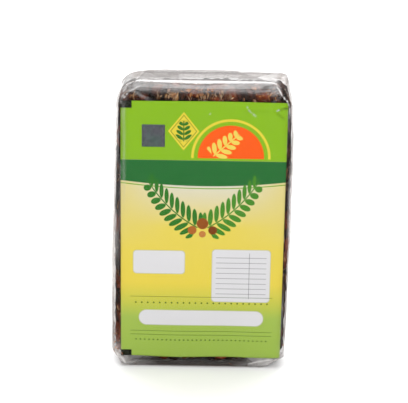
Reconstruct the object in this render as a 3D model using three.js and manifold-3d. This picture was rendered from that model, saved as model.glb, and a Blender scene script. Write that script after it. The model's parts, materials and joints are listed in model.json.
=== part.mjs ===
// A block of pressed tamarind pulp in a folded clear film wrap, with a printed label behind the film.
// Millimetres, +Z up, the front faces -Y, and the origin lies under the middle of the packet.
import * as THREE from "three";
import { ConvexGeometry } from "three/addons/geometries/ConvexGeometry.js";
import { mergeVertices } from "three/addons/utils/BufferGeometryUtils.js";
import Module from "manifold-3d";

// Wrap: overall size, sheet and the play between sheets that touch
const wrapWidth = 77.6;
const wrapDepth = 20.4;
const wrapHeight = 130.4;
const filmWall = 0.4;
const play = 0.3;
const bottomFold = 0.4; // thickness of the end fold that the packet stands on
const seamProud = 0.3; // how far the long seam stands out of the back
const shellTop = 129.3; // level of the side tucks, under the top fold
const edgeRadius = 3; // soft upright edges of the wrap
const crispRadius = 1.2; // the same edges where they meet the top
const crispFrom = 119.5; // level above which the upright edges sharpen and the corner facet starts
const facetDrawIn = 4.5; // how far the facet at the top right draws the front in, past the back
const ringCount = 26;
const frontSteps = 12;
const sideSteps = 3;
const cornerSteps = 5;

// How far each corner of the front outline is cut back across and along the height
const corners = {
  topLeft: { across: 8, along: 10, round: true },
  topRight: { across: 2.1, along: 9, round: true },
  bottomLeft: { across: 3.8, along: 6.6, round: false },
  bottomRight: { across: 7.8, along: 4.6, round: false },
};
const topBevel = { inward: 3.2, along: 3.2 }; // sloped band from the front up to the top fold
const softBevel = { inward: 1.2, along: 1.2 }; // the other end edges

// Left and right ends of each fold's two long edges, and the seam and the gap under the top fold
const topFold = { frontLeft: -28.5, frontRight: 30, rearLeft: -25, rearRight: 14 };
const standingFold = { frontLeft: -31, frontRight: 27, rearLeft: -20, rearRight: 17 };
const seam = { left: 1, right: 10, bottom: 6, top: 124 };
const topGap = { left: -14, right: 12, front: -2, rear: 5.5 };

// Label
const labelWidth = 70;
const labelHeight = 116.4;
const labelBottom = 5;
const labelCentre = 0.5;
const labelSheet = 0.3;
const labelColumns = 18;
const labelRows = 12;
const labelSag = 0.25; // slight wave of its lower edge

// Pressed block
const blockWidth = 76;
const blockTop = 127.6;
const blockBottom = 1.7;
const blockCentre = 0.5;
const blockRounding = 3.6;
const blockRelief = 1.1; // depth of the hollows between lumps
const blockEdgeRelief = 1.5; // further loss along the edges
const blockCornerRise = 4.5; // how far the underside curls up at the sides
const flatUnderside = 9; // half the width over which the underside stays low
const blockSegments = { x: 24, y: 7, z: 38 };

const smooth = (from, to, value) => THREE.MathUtils.smoothstep(value, from, to);
const nearTop = (z) => THREE.MathUtils.clamp((z - crispFrom) / (shellTop - crispFrom), 0, 1);
const uprightRadius = (z) => THREE.MathUtils.lerp(edgeRadius, crispRadius, nearTop(z));

const wasm = await Module();
wasm.setup();

function toSolid(geometry) {
  const bare = geometry.clone();
  bare.deleteAttribute("normal");
  bare.deleteAttribute("uv");
  const merged = mergeVertices(bare, 1e-4);
  const mesh = new wasm.Mesh({
    numProp: 3,
    vertProperties: new Float32Array(merged.attributes.position.array),
    triVerts: new Uint32Array(merged.index.array),
  });
  return new wasm.Manifold(mesh);
}

function toGeometry(solid) {
  const mesh = solid.getMesh();
  const geometry = new THREE.BufferGeometry();
  geometry.setAttribute("position", new THREE.BufferAttribute(mesh.vertProperties, 3));
  geometry.setIndex(new THREE.BufferAttribute(mesh.triVerts, 1));
  geometry.computeVertexNormals();
  return geometry;
}

// A closed skin through rings of equal length, listed upwards and each counter-clockwise from above.
function loft(rings) {
  const count = rings[0].length;
  const positions = rings.flat().flatMap((point) => point.toArray());
  const triangles = [];
  for (let level = 0; level + 1 < rings.length; level += 1) {
    for (let i = 0; i < count; i += 1) {
      const next = (i + 1) % count;
      const a = level * count + i;
      const b = level * count + next;
      triangles.push(a, b, b + count, a, b + count, a + count);
    }
  }
  for (const [ring, start, flip] of [
    [rings[0], 0, true],
    [rings.at(-1), (rings.length - 1) * count, false],
  ]) {
    const centre = ring.reduce((sum, point) => sum.add(point), new THREE.Vector3());
    const hub = positions.length / 3;
    positions.push(...centre.divideScalar(count).toArray());
    for (let i = 0; i < count; i += 1) {
      const pair = [start + i, start + ((i + 1) % count)];
      triangles.push(...(flip ? pair.reverse() : pair), hub);
    }
  }
  const geometry = new THREE.BufferGeometry();
  geometry.setAttribute("position", new THREE.Float32BufferAttribute(positions, 3));
  geometry.setIndex(triangles);
  return geometry;
}

// Cut at a corner, for a height measured from the end that the corner belongs to.
function cornerCut({ across, along, round }, height) {
  const share = Math.max(0, 1 - height / along);
  return across * (round ? 1 - Math.sqrt(1 - share * share) : share);
}

function leftEdge(z) {
  const taper = 2 * Math.max(0, (z - 25) / 90) ** 2;
  const cut = cornerCut(corners.topLeft, shellTop - z) + cornerCut(corners.bottomLeft, z - bottomFold);
  return -wrapWidth / 2 + taper + cut;
}

function rightEdge(z) {
  const taper = z < 80 ? 0.9 * ((80 - z) / 65) ** 2 : ((z - 80) / 40) ** 3;
  const cut = cornerCut(corners.topRight, shellTop - z) + cornerCut(corners.bottomRight, z - bottomFold);
  return wrapWidth / 2 - taper - cut;
}

function bevelCut({ inward, along }, height) {
  return inward * Math.max(0, 1 - height / along);
}

function frontFace(z) {
  return -wrapDepth / 2 + bevelCut(topBevel, shellTop - z) + bevelCut(softBevel, z - bottomFold);
}

function backFace(z) {
  const flat = wrapDepth / 2 - seamProud;
  return flat - bevelCut(softBevel, shellTop - z) - bevelCut(softBevel, z - bottomFold);
}

// How far a point at depth y lies in from the right edge, on the facet at the top right corner.
function facetCut(y, z) {
  const back = backFace(z);
  return facetDrawIn * nearTop(z) * THREE.MathUtils.clamp((back - y) / (back - frontFace(z)), 0, 1);
}

// One ring of the wrap at height z, moved inwards by inset and laid at height `level`.
function wrapRing(z, inset, level) {
  const left = leftEdge(z) + inset;
  const right = rightEdge(z) - inset;
  const front = frontFace(z) + inset;
  const back = backFace(z) - inset;
  const radius = uprightRadius(z) - inset;
  const ring = [];
  const corner = (x, y, start) => {
    for (let i = 0; i <= cornerSteps; i += 1) {
      const angle = start + ((Math.PI / 2) * i) / cornerSteps;
      ring.push(new THREE.Vector3(x + radius * Math.cos(angle), y + radius * Math.sin(angle), level));
    }
  };
  const side = (x0, y0, x1, y1, steps) => {
    for (let i = 1; i < steps; i += 1) {
      const t = i / steps;
      ring.push(new THREE.Vector3(x0 + (x1 - x0) * t, y0 + (y1 - y0) * t, level));
    }
  };
  corner(left + radius, front + radius, Math.PI);
  side(left + radius, front, right - radius, front, frontSteps);
  corner(right - radius, front + radius, -Math.PI / 2);
  side(right, front + radius, right, back - radius, sideSteps);
  corner(right - radius, back - radius, 0);
  side(right - radius, back, left + radius, back, frontSteps);
  corner(left + radius, back - radius, Math.PI / 2);
  side(left, back - radius, left, front + radius, sideSteps);
  for (const point of ring) point.x -= facetCut(point.y, z) * Math.max(0, point.x / right);
  return ring;
}

function wrapSkin(inset) {
  const rings = [];
  for (let i = 0; i <= ringCount; i += 1) {
    const rise = (1 - Math.cos((Math.PI * i) / ringCount)) / 2;
    const z = THREE.MathUtils.lerp(bottomFold, shellTop, rise);
    const level = THREE.MathUtils.lerp(bottomFold + inset, shellTop - inset, rise);
    rings.push(wrapRing(z, inset, level));
  }
  return toSolid(loft(rings));
}

// A fold lying between a front edge and a rear edge, each given by its depth and its underside's height.
function foldPlate({ frontLeft, frontRight, rearLeft, rearRight }, front, rear) {
  const underside = [
    [frontLeft, ...front],
    [frontRight, ...front],
    [rearRight, ...rear],
    [rearLeft, ...rear],
  ];
  const points = [0, filmWall].flatMap((up) => underside.map(([x, y, z]) => new THREE.Vector3(x, y, z + up)));
  return toSolid(new ConvexGeometry(points));
}

function box(low, high) {
  const size = new THREE.Vector3().subVectors(high, low);
  const geometry = new THREE.BoxGeometry(size.x, size.y, size.z);
  geometry.translate(...low.clone().addScaledVector(size, 0.5).toArray());
  return toSolid(geometry);
}

function buildWrap() {
  const back = wrapDepth / 2 - seamProud;
  const ridge = -wrapDepth / 2 + topBevel.inward;
  const foot = back - softBevel.inward;
  const seat = shellTop - filmWall;
  const top = foldPlate(topFold, [ridge, seat], [back - filmWall, wrapHeight - filmWall]);
  const standing = foldPlate(standingFold, [-foot, 0], [foot, 0]);
  const strip = box(
    new THREE.Vector3(seam.left, back - filmWall / 2, seam.bottom),
    new THREE.Vector3(seam.right, wrapDepth / 2, seam.top),
  );
  // The side tucks don't meet in the middle of the top, under the fold.
  const gap = box(
    new THREE.Vector3(topGap.left, topGap.front, seat - play),
    new THREE.Vector3(topGap.right, topGap.rear, shellTop + play / 2),
  );
  const shell = wrapSkin(0).subtract(wrapSkin(filmWall)).subtract(gap);
  return shell.add(top).add(standing).add(strip);
}

// How deep a sheet lies behind the wrap's front, which bends back at the soft upright edges.
function behindFront(x, z, depth) {
  const bend = uprightRadius(z);
  const right = rightEdge(z) - facetCut(frontFace(z), z);
  const past = Math.max(0, leftEdge(z) + bend - x, x - right + bend);
  return -wrapDepth / 2 + bend - Math.sqrt((bend - depth) ** 2 - past * past);
}

function buildLabel() {
  const geometry = new THREE.BoxGeometry(labelWidth, 1, labelHeight, labelColumns, 1, labelRows);
  const points = geometry.attributes.position;
  for (let i = 0; i < points.count; i += 1) {
    const across = points.getX(i) / (labelWidth / 2);
    const x = labelCentre + (labelWidth / 2) * Math.sin((across * Math.PI) / 2);
    const up = points.getZ(i) / labelHeight + 0.5;
    const depth = filmWall + play + (points.getY(i) > 0 ? labelSheet : 0);
    const wave = labelSag * Math.sin(x / 6.5) * (1 - up) ** 4;
    const z = labelBottom + labelHeight * up + wave;
    points.setXYZ(i, x, behindFront(x, z, depth), z);
  }
  return toSolid(geometry);
}

// Repeatable value between 0 and 1 for a lattice point.
function latticeValue(i, j, k) {
  const wild = Math.sin(i * 127.1 + j * 311.7 + k * 74.7) * 43758.5453;
  return wild - Math.floor(wild);
}

// Smooth noise between 0 and 1, with lumps about as wide as `size`.
function lumps(x, y, z, size) {
  const cell = [x, y, z].map((value) => Math.floor(value / size));
  const [u, v, w] = [x, y, z].map((value, axis) => smooth(0, 1, value / size - cell[axis]));
  let total = 0;
  for (const [a, b, c] of [0, 1].flatMap((a) => [0, 1].flatMap((b) => [0, 1].map((c) => [a, b, c])))) {
    const weight = (a ? u : 1 - u) * (b ? v : 1 - v) * (c ? w : 1 - w);
    total += weight * latticeValue(cell[0] + a, cell[1] + b, cell[2] + c);
  }
  return total;
}

// Draws a block point in towards the middle where the wrap's corners and bevels leave less room.
function fitInWrap(place, centre, half) {
  const spare = filmWall + play;
  const z = place.z + Math.sign(place.z - centre.z) * spare;
  const room = {
    left: centre.x - leftEdge(z) - spare,
    right: rightEdge(z) - facetCut(place.y, z) - spare - centre.x,
    front: centre.y - frontFace(z) - spare,
    back: backFace(z) - spare - centre.y,
  };
  const across = place.x < centre.x ? room.left : room.right;
  const deep = place.y < centre.y ? room.front : room.back;
  place.x = centre.x + (place.x - centre.x) * Math.min(1, across / half.x);
  place.y = centre.y + (place.y - centre.y) * Math.min(1, deep / half.y);
}

function buildBlock() {
  const front = -wrapDepth / 2 + filmWall + play + labelSheet + play;
  const back = wrapDepth / 2 - seamProud - filmWall - play;
  const half = new THREE.Vector3(blockWidth / 2, (back - front) / 2, (blockTop - blockBottom) / 2);
  const centre = new THREE.Vector3(blockCentre, (front + back) / 2, (blockTop + blockBottom) / 2);
  const { x: nx, y: ny, z: nz } = blockSegments;
  const geometry = new THREE.BoxGeometry(half.x * 2, half.y * 2, half.z * 2, nx, ny, nz);
  const points = geometry.attributes.position;
  const core = half.clone().subScalar(blockRounding);
  const point = new THREE.Vector3();
  for (let i = 0; i < points.count; i += 1) {
    point.fromBufferAttribute(points, i);
    const nearest = point.clone().clamp(core.clone().negate(), core);
    const outward = point.clone().sub(nearest).normalize();
    const place = nearest.clone().addScaledVector(outward, blockRounding);
    const edgeShare = 1 - Math.max(Math.abs(outward.x), Math.abs(outward.y), Math.abs(outward.z));
    const { x, y, z } = point;
    const hollow = blockRelief * (0.65 * lumps(x, y, z, 11) + 0.35 * lumps(x, y, z, 5));
    const loss = blockEdgeRelief * lumps(x, y, z, 8) * smooth(0, 0.25, edgeShare);
    place.addScaledVector(outward, -hollow - loss).add(centre);
    const side = Math.max(0, Math.abs(place.x - centre.x) - flatUnderside) / (half.x - flatUnderside);
    const low = Math.max(0, 1 - (place.z - blockBottom) / 14);
    place.z += blockCornerRise * side * side * low;
    fitInWrap(place, centre, half);
    points.setXYZ(i, place.x, place.y, place.z);
  }
  return toSolid(geometry);
}

const materials = {
  tamarind_block: new THREE.MeshStandardMaterial({ color: 0x35241c, roughness: 0.45, metalness: 0 }),
  film_wrap: new THREE.MeshStandardMaterial({
    color: 0xdcdad6,
    roughness: 0.12,
    metalness: 0,
    transparent: true,
    opacity: 0.3,
  }),
  printed_label: new THREE.MeshStandardMaterial({ color: 0x96bd45, roughness: 0.4, metalness: 0 }),
};

const solids = {
  tamarind_block: buildBlock(),
  film_wrap: buildWrap(),
  printed_label: buildLabel(),
};

const packet = new THREE.Group();
packet.name = "tamarind_packet";
for (const [name, solid] of Object.entries(solids)) {
  const mesh = new THREE.Mesh(toGeometry(solid), materials[name]);
  mesh.name = name;
  packet.add(mesh);
}

export default packet;
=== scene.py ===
# %% [markdown]
# # A block of pressed tamarind in clear film
#
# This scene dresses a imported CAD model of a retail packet: a dark, sticky block of pressed fruit
# pulp, wrapped in clear film with envelope folds at both ends, and a printed label behind the film.
# The CAD model gives the sizes. Here each piece gets the shape and finish that an eye or a lamp
# can find: lumps, fibres, creases, haze, print and gloss.

import json
import math

import bpy
import numpy as np
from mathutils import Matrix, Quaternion, Vector
from mathutils.bvhtree import BVHTree
from mathutils.kdtree import KDTree

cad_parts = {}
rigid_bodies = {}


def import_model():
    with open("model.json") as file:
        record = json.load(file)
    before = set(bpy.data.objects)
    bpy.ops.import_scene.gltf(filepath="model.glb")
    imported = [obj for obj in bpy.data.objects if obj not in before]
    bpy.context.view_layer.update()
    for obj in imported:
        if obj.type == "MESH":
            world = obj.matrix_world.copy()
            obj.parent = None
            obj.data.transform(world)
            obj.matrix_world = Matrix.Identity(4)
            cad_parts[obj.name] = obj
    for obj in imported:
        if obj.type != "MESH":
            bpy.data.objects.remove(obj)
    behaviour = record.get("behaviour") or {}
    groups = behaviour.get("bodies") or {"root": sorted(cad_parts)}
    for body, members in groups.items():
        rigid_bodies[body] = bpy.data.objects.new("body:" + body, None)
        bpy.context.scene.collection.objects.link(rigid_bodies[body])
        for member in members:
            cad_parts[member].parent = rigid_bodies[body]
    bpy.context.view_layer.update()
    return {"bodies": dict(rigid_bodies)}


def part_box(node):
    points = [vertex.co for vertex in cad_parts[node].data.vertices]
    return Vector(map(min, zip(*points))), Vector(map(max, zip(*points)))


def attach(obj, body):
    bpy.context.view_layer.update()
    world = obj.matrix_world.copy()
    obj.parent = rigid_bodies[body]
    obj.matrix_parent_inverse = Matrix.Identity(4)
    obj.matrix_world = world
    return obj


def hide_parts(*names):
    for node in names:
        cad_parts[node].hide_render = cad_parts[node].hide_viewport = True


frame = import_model()
BODY = next(iter(frame["bodies"]))
MM = 0.001

# %% [markdown]
# ## The packet's outline
#
# Every piece hugs the same outline, so it is written once: where the film's left, right, front and
# back run at each height. The width, depth and height are read from the frame. The other sizes are
# the ones that the CAD model uses, in millimetres.

# %% Outline functions, in millimetres
film_low, film_high = (np.array(corner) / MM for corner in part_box("film_wrap"))
WRAP_WIDTH, WRAP_DEPTH, WRAP_HEIGHT = film_high - film_low
FILM_WALL = 0.4
PLAY = 0.3
SEAM_PROUD = 0.3
FOOT_LEVEL = 0.4
SHELL_TOP = 129.3
EDGE_RADIUS = 3.0
TOP_BEVEL = 3.2
SOFT_BEVEL = 1.2
CRISP_RADIUS = 1.2
CRISP_FROM = 119.5
FACET_DRAW_IN = 4.5
REAR_RISE = 0.65
LIP_TOP = 127.0
LEFT_CUTS = ((8, 10), (3.8, 6.6))  # at the top and the foot: how far across, and how far down or up
RIGHT_CUTS = ((2.1, 9), (7.8, 4.6))


def ramp(value, start, end):
    """0 below start, 1 above end, and smooth between."""
    t = np.clip((value - start) / (end - start), 0, 1)
    return t * t * (3 - 2 * t)


def corner_cuts(z, top, foot):
    """How far a side lies in at this height: a round cut at the top, a straight one at the foot."""
    high = np.clip(1 - (SHELL_TOP - z) / top[1], 0, 1)
    low = np.clip(1 - (z - FOOT_LEVEL) / foot[1], 0, 1)
    return top[0] * (1 - np.sqrt(1 - high**2)) + foot[0] * low


def left_edge(z):
    taper = 2 * np.maximum(0, (z - 25) / 90) ** 2
    return -WRAP_WIDTH / 2 + taper + corner_cuts(z, *LEFT_CUTS)


def right_edge(z):
    taper = np.where(z < 80, 0.9 * ((80 - z) / 65) ** 2, np.maximum(0, (z - 80) / 40) ** 3)
    return WRAP_WIDTH / 2 - taper - corner_cuts(z, *RIGHT_CUTS)


print("width half-way up, mm", round(float(right_edge(65.0) - left_edge(65.0)), 2))


# %% Front, back and the facet at the top right corner
def near_top(z):
    return np.clip((z - CRISP_FROM) / (SHELL_TOP - CRISP_FROM), 0, 1)


def upright_radius(z):
    """The upright edges are soft, and sharpen towards the top."""
    return EDGE_RADIUS + (CRISP_RADIUS - EDGE_RADIUS) * near_top(z)


def lip_level(x):
    """Where the front starts to slope back to the top. The line is an arch, lowest at the right."""
    return LIP_TOP - np.where(x < 0.2, 0.0017, 0.0037) * (x - 0.2) ** 2


def bevel_cut(height, size):
    return size * np.clip(1 - height / size, 0, 1)


def front_face(z):
    return -WRAP_DEPTH / 2 + bevel_cut(SHELL_TOP - z, TOP_BEVEL) + bevel_cut(z - FOOT_LEVEL, SOFT_BEVEL)


def back_face(z):
    flat = WRAP_DEPTH / 2 - SEAM_PROUD
    return flat - bevel_cut(SHELL_TOP - z, SOFT_BEVEL) - bevel_cut(z - FOOT_LEVEL, SOFT_BEVEL)


def facet_cut(y, z):
    """How far a point at depth y lies in from the right edge, on the facet at the top right corner."""
    back = back_face(z)
    return FACET_DRAW_IN * near_top(z) * np.clip((back - y) / (back - front_face(z)), 0, 1)


print("depth half-way up, mm", round(float(back_face(65.0) - front_face(65.0)), 2))

# %% [markdown]
# ## Helpers for meshes and noise
#
# Large shapes here are grids of points worked out with numpy, then turned into meshes in one go.
# The noise is a plain lattice noise, written out so that it gives the same lumps on every run.

# %% Mesh helpers
def make_piece(name, points, faces, edges=()):
    """A mesh object from points in millimetres. It sits at the origin, with its place in its mesh."""
    mesh = bpy.data.meshes.new(name)
    mesh.from_pydata((np.asarray(points, dtype=float) * MM).tolist(), edges, faces)
    mesh.polygons.foreach_set("use_smooth", [True] * len(mesh.polygons))
    mesh.update()
    piece = bpy.data.objects.new(name, mesh)
    bpy.context.scene.collection.objects.link(piece)
    return piece


def grid_faces(rows, columns, closed=False):
    faces = []
    for row in range(rows - 1):
        for column in range(columns if closed else columns - 1):
            a = row * columns + column
            b = row * columns + (column + 1) % columns
            faces.append((a, b, b + columns, a + columns))
    return faces


def as_points(x, y, z):
    """One row of x, y and z for each cell of the arrays."""
    return np.stack(np.broadcast_arrays(x, y, z), axis=-1).reshape(-1, 3)


def unit_grid(rows, columns):
    """Two arrays that run from 0 to 1, the first across and the second up."""
    return np.meshgrid(np.linspace(0, 1, columns), np.linspace(0, 1, rows))


def thicken(piece, thickness):
    """A live wall behind a sheet, with its thickness in millimetres."""
    wall = piece.modifiers.new("sheet", "SOLIDIFY")
    wall.thickness = thickness * MM
    wall.offset = -1


def paint_points(piece, name, values):
    """A number for each point, which materials and node trees can read by name."""
    layer = piece.data.attributes.new(name, "FLOAT", "POINT")
    layer.data.foreach_set("value", np.asarray(values, dtype=np.float32).ravel())


print("faces of a 3 by 4 grid", len(grid_faces(3, 4)))


# %% Noise and distance helpers
def bell(value, middle, width):
    """1 at middle, and falling off smoothly to both sides."""
    return np.exp(-(((value - middle) / width) ** 2))


def lattice_value(i, j, k):
    wild = np.sin(i * 127.1 + j * 311.7 + k * 74.7) * 43758.5453
    return wild - np.floor(wild)


def lumps(points, size):
    """Smooth noise between 0 and 1, with lumps about as wide as size, a number or one per axis."""
    scaled = np.asarray(points, dtype=float) / np.asarray(size, dtype=float)
    cell = np.floor(scaled)
    t = scaled - cell
    t = t * t * (3 - 2 * t)
    total = 0
    for a in (0, 1):
        for b in (0, 1):
            for c in (0, 1):
                weight = np.prod(np.where((a, b, c), t, 1 - t), axis=-1)
                total = total + weight * lattice_value(*np.moveaxis(cell + (a, b, c), -1, 0))
    return total


def distance_to_path(points, path):
    """Distance from each point to a path of straight stretches, and how far along it, from 0 to 1."""
    best = np.full(len(points), np.inf)
    along = np.zeros(len(points))
    stretches = len(path) - 1
    for index in range(stretches):
        start, step = path[index], path[index + 1] - path[index]
        share = np.clip((points - start) @ step / max(step @ step, 1e-9), 0, 1)
        gap = np.linalg.norm(points - start - share[:, None] * step, axis=1)
        nearer = gap < best
        best[nearer] = gap[nearer]
        along[nearer] = (index + share[nearer]) / stretches
    return best, along


print("noise sample", np.round(lumps(np.array([[3.0, 4.0, 5.0]]), 2.0), 3))

# %% [markdown]
# ## Helpers for node trees
#
# Shader maths reads best as plain expressions. A small class wraps a socket, and its operators add
# the Math nodes. One method makes every other node, for materials and for Geometry Nodes alike.

# %% A socket with operators
class Signal:
    """A number that flows through a node tree. Its operators add Math nodes."""

    def __init__(self, board, socket):
        self.board, self.socket = board, socket

    def maths(self, operation, *terms):
        node = self.board.node("ShaderNodeMath", {"operation": operation}, dict(enumerate(terms)))
        return Signal(self.board, node.outputs[0])

    def __add__(self, other):
        return self.maths("ADD", self, other)

    def __sub__(self, other):
        return self.maths("SUBTRACT", self, other)

    def __rsub__(self, other):
        return self.maths("SUBTRACT", other, self)

    def __mul__(self, other):
        return self.maths("MULTIPLY", self, other)

    def __truediv__(self, other):
        return self.maths("DIVIDE", self, other)

    def __rtruediv__(self, other):
        return self.maths("DIVIDE", other, self)

    def __pow__(self, other):
        return self.maths("POWER", self, other)

    def __abs__(self):
        return self.maths("ABSOLUTE", self)

    __radd__ = __add__
    __rmul__ = __mul__

    def least(self, other):
        return self.maths("MINIMUM", self, other)

    def most(self, other):
        return self.maths("MAXIMUM", self, other)

    def floor(self):
        return self.maths("FLOOR", self)

    def clamp(self):
        return self.most(0).least(1)

    def step_over(self, start, end):
        """0 at start, 1 at end, and straight between."""
        return ((self - start) / (end - start)).clamp()


print("sockets now take + - * / ** and abs")


# %% One method for every node
class Board:
    """A node tree under construction."""

    def __init__(self, tree):
        self.tree = tree

    def node(self, kind, settings=None, sockets=None):
        made = self.tree.nodes.new(kind)
        for key, value in (settings or {}).items():
            if key == "stops":
                elements = made.color_ramp.elements
                for index, (position, colour) in enumerate(value):
                    element = elements[index] if index < 2 else elements.new(position)
                    element.position = position
                    element.color = colour
            else:
                setattr(made, key, value)
        for key, value in (sockets or {}).items():
            socket = made.inputs[key]
            if isinstance(value, Signal):
                self.tree.links.new(value.socket, socket)
            elif isinstance(value, bpy.types.NodeSocket):
                self.tree.links.new(value, socket)
            else:
                socket.default_value = value
        return made

    def value(self, kind, output, settings=None, sockets=None):
        return Signal(self, self.node(kind, settings, sockets).outputs[output])


print("node trees before the packet's own", len(bpy.data.node_groups))


# %% Materials
def shade(red, green, blue):
    """A screen colour, 0 to 255 each, as the linear colour that shaders use."""
    parts = [channel / 255 for channel in (red, green, blue)]
    return (*[c / 12.92 if c <= 0.04045 else ((c + 0.055) / 1.055) ** 2.4 for c in parts], 1.0)


class Finish(Board):
    """A material whose nodes are made one by one."""

    def __init__(self, name):
        self.material = bpy.data.materials.new(name)
        self.material.use_nodes = True
        super().__init__(self.material.node_tree)
        self.tree.nodes.clear()
        self.place = self.node("ShaderNodeTexCoord").outputs["Object"]

    def mix(self, factor, first, second, blend="MIX"):
        """A colour between two colours. The inputs are picked by number, as several share a name."""
        node = self.node(
            "ShaderNodeMix", {"data_type": "RGBA", "blend_type": blend}, {0: factor, 6: first, 7: second}
        )
        return node.outputs[2]

    def noise(self, scale, detail=3.0, rough=0.55, stretch=(1, 1, 1), shift=(0, 0, 0), warp=0.0):
        """Cloudy noise in object space. scale is in lumps per metre."""
        mapped = self.node(
            "ShaderNodeMapping", None, {"Vector": self.place, "Scale": stretch, "Location": shift}
        ).outputs[0]
        grain = {"Scale": scale, "Detail": detail, "Roughness": rough, "Distortion": warp}
        return self.value("ShaderNodeTexNoise", "Fac", None, {"Vector": mapped, **grain})

    def attribute(self, name):
        return self.value("ShaderNodeAttribute", "Fac", {"attribute_name": name})

    def bump(self, height, strength, distance):
        return self.node(
            "ShaderNodeBump", None, {"Height": height, "Strength": strength, "Distance": distance}
        ).outputs[0]

    def ink(self, mask, *screen_colour):
        """Lays a screen colour over the colour so far, where the mask is 1."""
        self.colour = self.mix(mask, self.colour, shade(*screen_colour))

    def blend(self, share, first, second):
        """A shader between two shader nodes."""
        sockets = {0: share, 1: first.outputs[0], 2: second.outputs[0]}
        return self.node("ShaderNodeMixShader", None, sockets)

    def surface(self, socket):
        self.node("ShaderNodeOutputMaterial", None, {"Surface": socket})
        return self.material

    def close(self, sockets):
        """Ends the tree in one Principled shader, and gives the material."""
        return self.surface(self.node("ShaderNodeBsdfPrincipled", None, sockets).outputs[0])


print("leaf green, linear", [round(c, 3) for c in shade(142, 187, 47)[:3]])

# %% [markdown]
# ## The pressed block
#
# The real block is seedless tamarind pulp pushed into a mould. It is made of squashed lobes with
# clefts between them, so it isn't smooth, and it curls up at its lower corners where the
# mould was not quite full. A plain rounded box is the start, and each point is then pulled in:
# first by the broad hollows that the CAD solid also has, then by clefts between lobes, found from
# the two nearest of a few thousand scattered centres. The lower front edge is filled out squarely
# in its middle, where the pulp pressed flat against the mould. The finish darkens the clefts with painted
# shade.

# %% Block shape
BLOCK_HALF = np.array([38.0, 8.95, 62.95])
BLOCK_CENTRE = np.array([0.5, 0.25, 64.65])
BLOCK_ROUNDING = 3.6
BLOCK_RELIEF = 1.1
BLOCK_EDGE_RELIEF = 1.5
UNDERSIDE_RISE = 4.5
FLAT_UNDERSIDE = 9.0
BLOCK_CELLS = (132, 36, 216)


def box_lattice(cells):
    """Points of a box's surface on a lattice, from -1 to 1 each way, and its faces, turned outwards."""
    cells = np.array(cells)
    keys, quads = [], []
    for axis in range(3):
        u_axis, v_axis = (axis + 1) % 3, (axis + 2) % 3
        u, v = np.meshgrid(np.arange(cells[u_axis]), np.arange(cells[v_axis]), indexing="ij")
        for end in (0, cells[axis]):
            order = ((0, 0), (1, 0), (1, 1), (0, 1)) if end else ((0, 0), (0, 1), (1, 1), (1, 0))
            for du, dv in order:
                place = np.zeros((u.size, 3), dtype=int)
                place[:, axis] = end
                place[:, u_axis] = (u + du).ravel()
                place[:, v_axis] = (v + dv).ravel()
                keys.append(place)
            quads.append(u.size)
    stacked = np.concatenate(keys)
    unique, inverse = np.unique(stacked, axis=0, return_inverse=True)
    inverse = inverse.ravel()
    faces, start = [], 0
    for count in quads:
        faces.append(inverse[start : start + 4 * count].reshape(4, count).T)
        start += 4 * count
    return unique / cells * 2 - 1, np.concatenate(faces)


def fit_in_wrap(place):
    """Draws points towards the middle where the wrap's corners and bevels leave less room."""
    spare = FILM_WALL + PLAY
    z = place[:, 2] + np.sign(place[:, 2] - BLOCK_CENTRE[2]) * spare
    offset = place - BLOCK_CENTRE
    left = BLOCK_CENTRE[0] - left_edge(z) - spare
    right = right_edge(z) - facet_cut(place[:, 1], z) - spare - BLOCK_CENTRE[0]
    front = BLOCK_CENTRE[1] - front_face(z) - spare
    back = back_face(z) - spare - BLOCK_CENTRE[1]
    across = np.where(offset[:, 0] < 0, left, right)
    deep = np.where(offset[:, 1] < 0, front, back)
    place = place.copy()
    place[:, 0] = BLOCK_CENTRE[0] + offset[:, 0] * np.minimum(1, across / BLOCK_HALF[0])
    place[:, 1] = BLOCK_CENTRE[1] + offset[:, 1] * np.minimum(1, deep / BLOCK_HALF[1])
    return place


unit, block_faces = box_lattice(BLOCK_CELLS)
start = unit * BLOCK_HALF
core = BLOCK_HALF - BLOCK_ROUNDING
nearest = np.clip(start, -core, core)
outward = start - nearest
outward /= np.linalg.norm(outward, axis=1)[:, None]
edge_share = ramp(1 - np.abs(outward).max(axis=1), 0, 0.25)
at_side = ramp(np.abs(start[:, 0]), 33, 37)
hollow = BLOCK_RELIEF * (0.65 * lumps(start, 11) + 0.35 * lumps(start, 5)) * (1 - 0.6 * at_side)
loss = BLOCK_EDGE_RELIEF * lumps(start, 8) * edge_share * (1 - 0.45 * at_side)
print("block points", len(start), "deepest hollow, mm", round(float(hollow.max()), 2))

# %% Clefts between the squashed lobes
rng = np.random.default_rng(7)
LOBES = 2600
LOBE_BEND = 3.2  # mm that a cleft wanders off its straight line
CLEFT_WIDTH = 0.55
LOBE_STRETCH = np.array([1.0, 0.8, 0.72])  # lobes lie a little longer upwards
lobe_centres = rng.uniform(-1, 1, (LOBES, 3)) * BLOCK_HALF
tree = KDTree(LOBES)
for index, centre in enumerate(lobe_centres * LOBE_STRETCH):
    tree.insert(centre, index)
tree.balance()
bend = np.stack([lumps(start + shift, 6) for shift in (0, 40, 80)], axis=1) - 0.5
found = [tree.find_n(point, 2) for point in ((start + LOBE_BEND * bend) * LOBE_STRETCH).tolist()]
gap = np.array([pair[1][2] - pair[0][2] for pair in found])
lobe = np.array([pair[0][1] for pair in found])
lobe_tone = rng.random(LOBES)[lobe]
cleft = np.exp(-gap / CLEFT_WIDTH)
grain = 0.22 * (lumps(start, 1.7) - 0.5) + 0.5 * (lumps(start, (4.0, 4.0, 1.6)) - 0.5)
calm = 1 - 0.55 * at_side
depth = hollow + loss + (0.75 * cleft - 0.28 * ramp(gap, 0.3, 2.5) - grain) * calm
depth = np.maximum(depth, -0.15)
block_points = nearest + outward * (BLOCK_ROUNDING - depth)[:, None] + BLOCK_CENTRE
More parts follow.
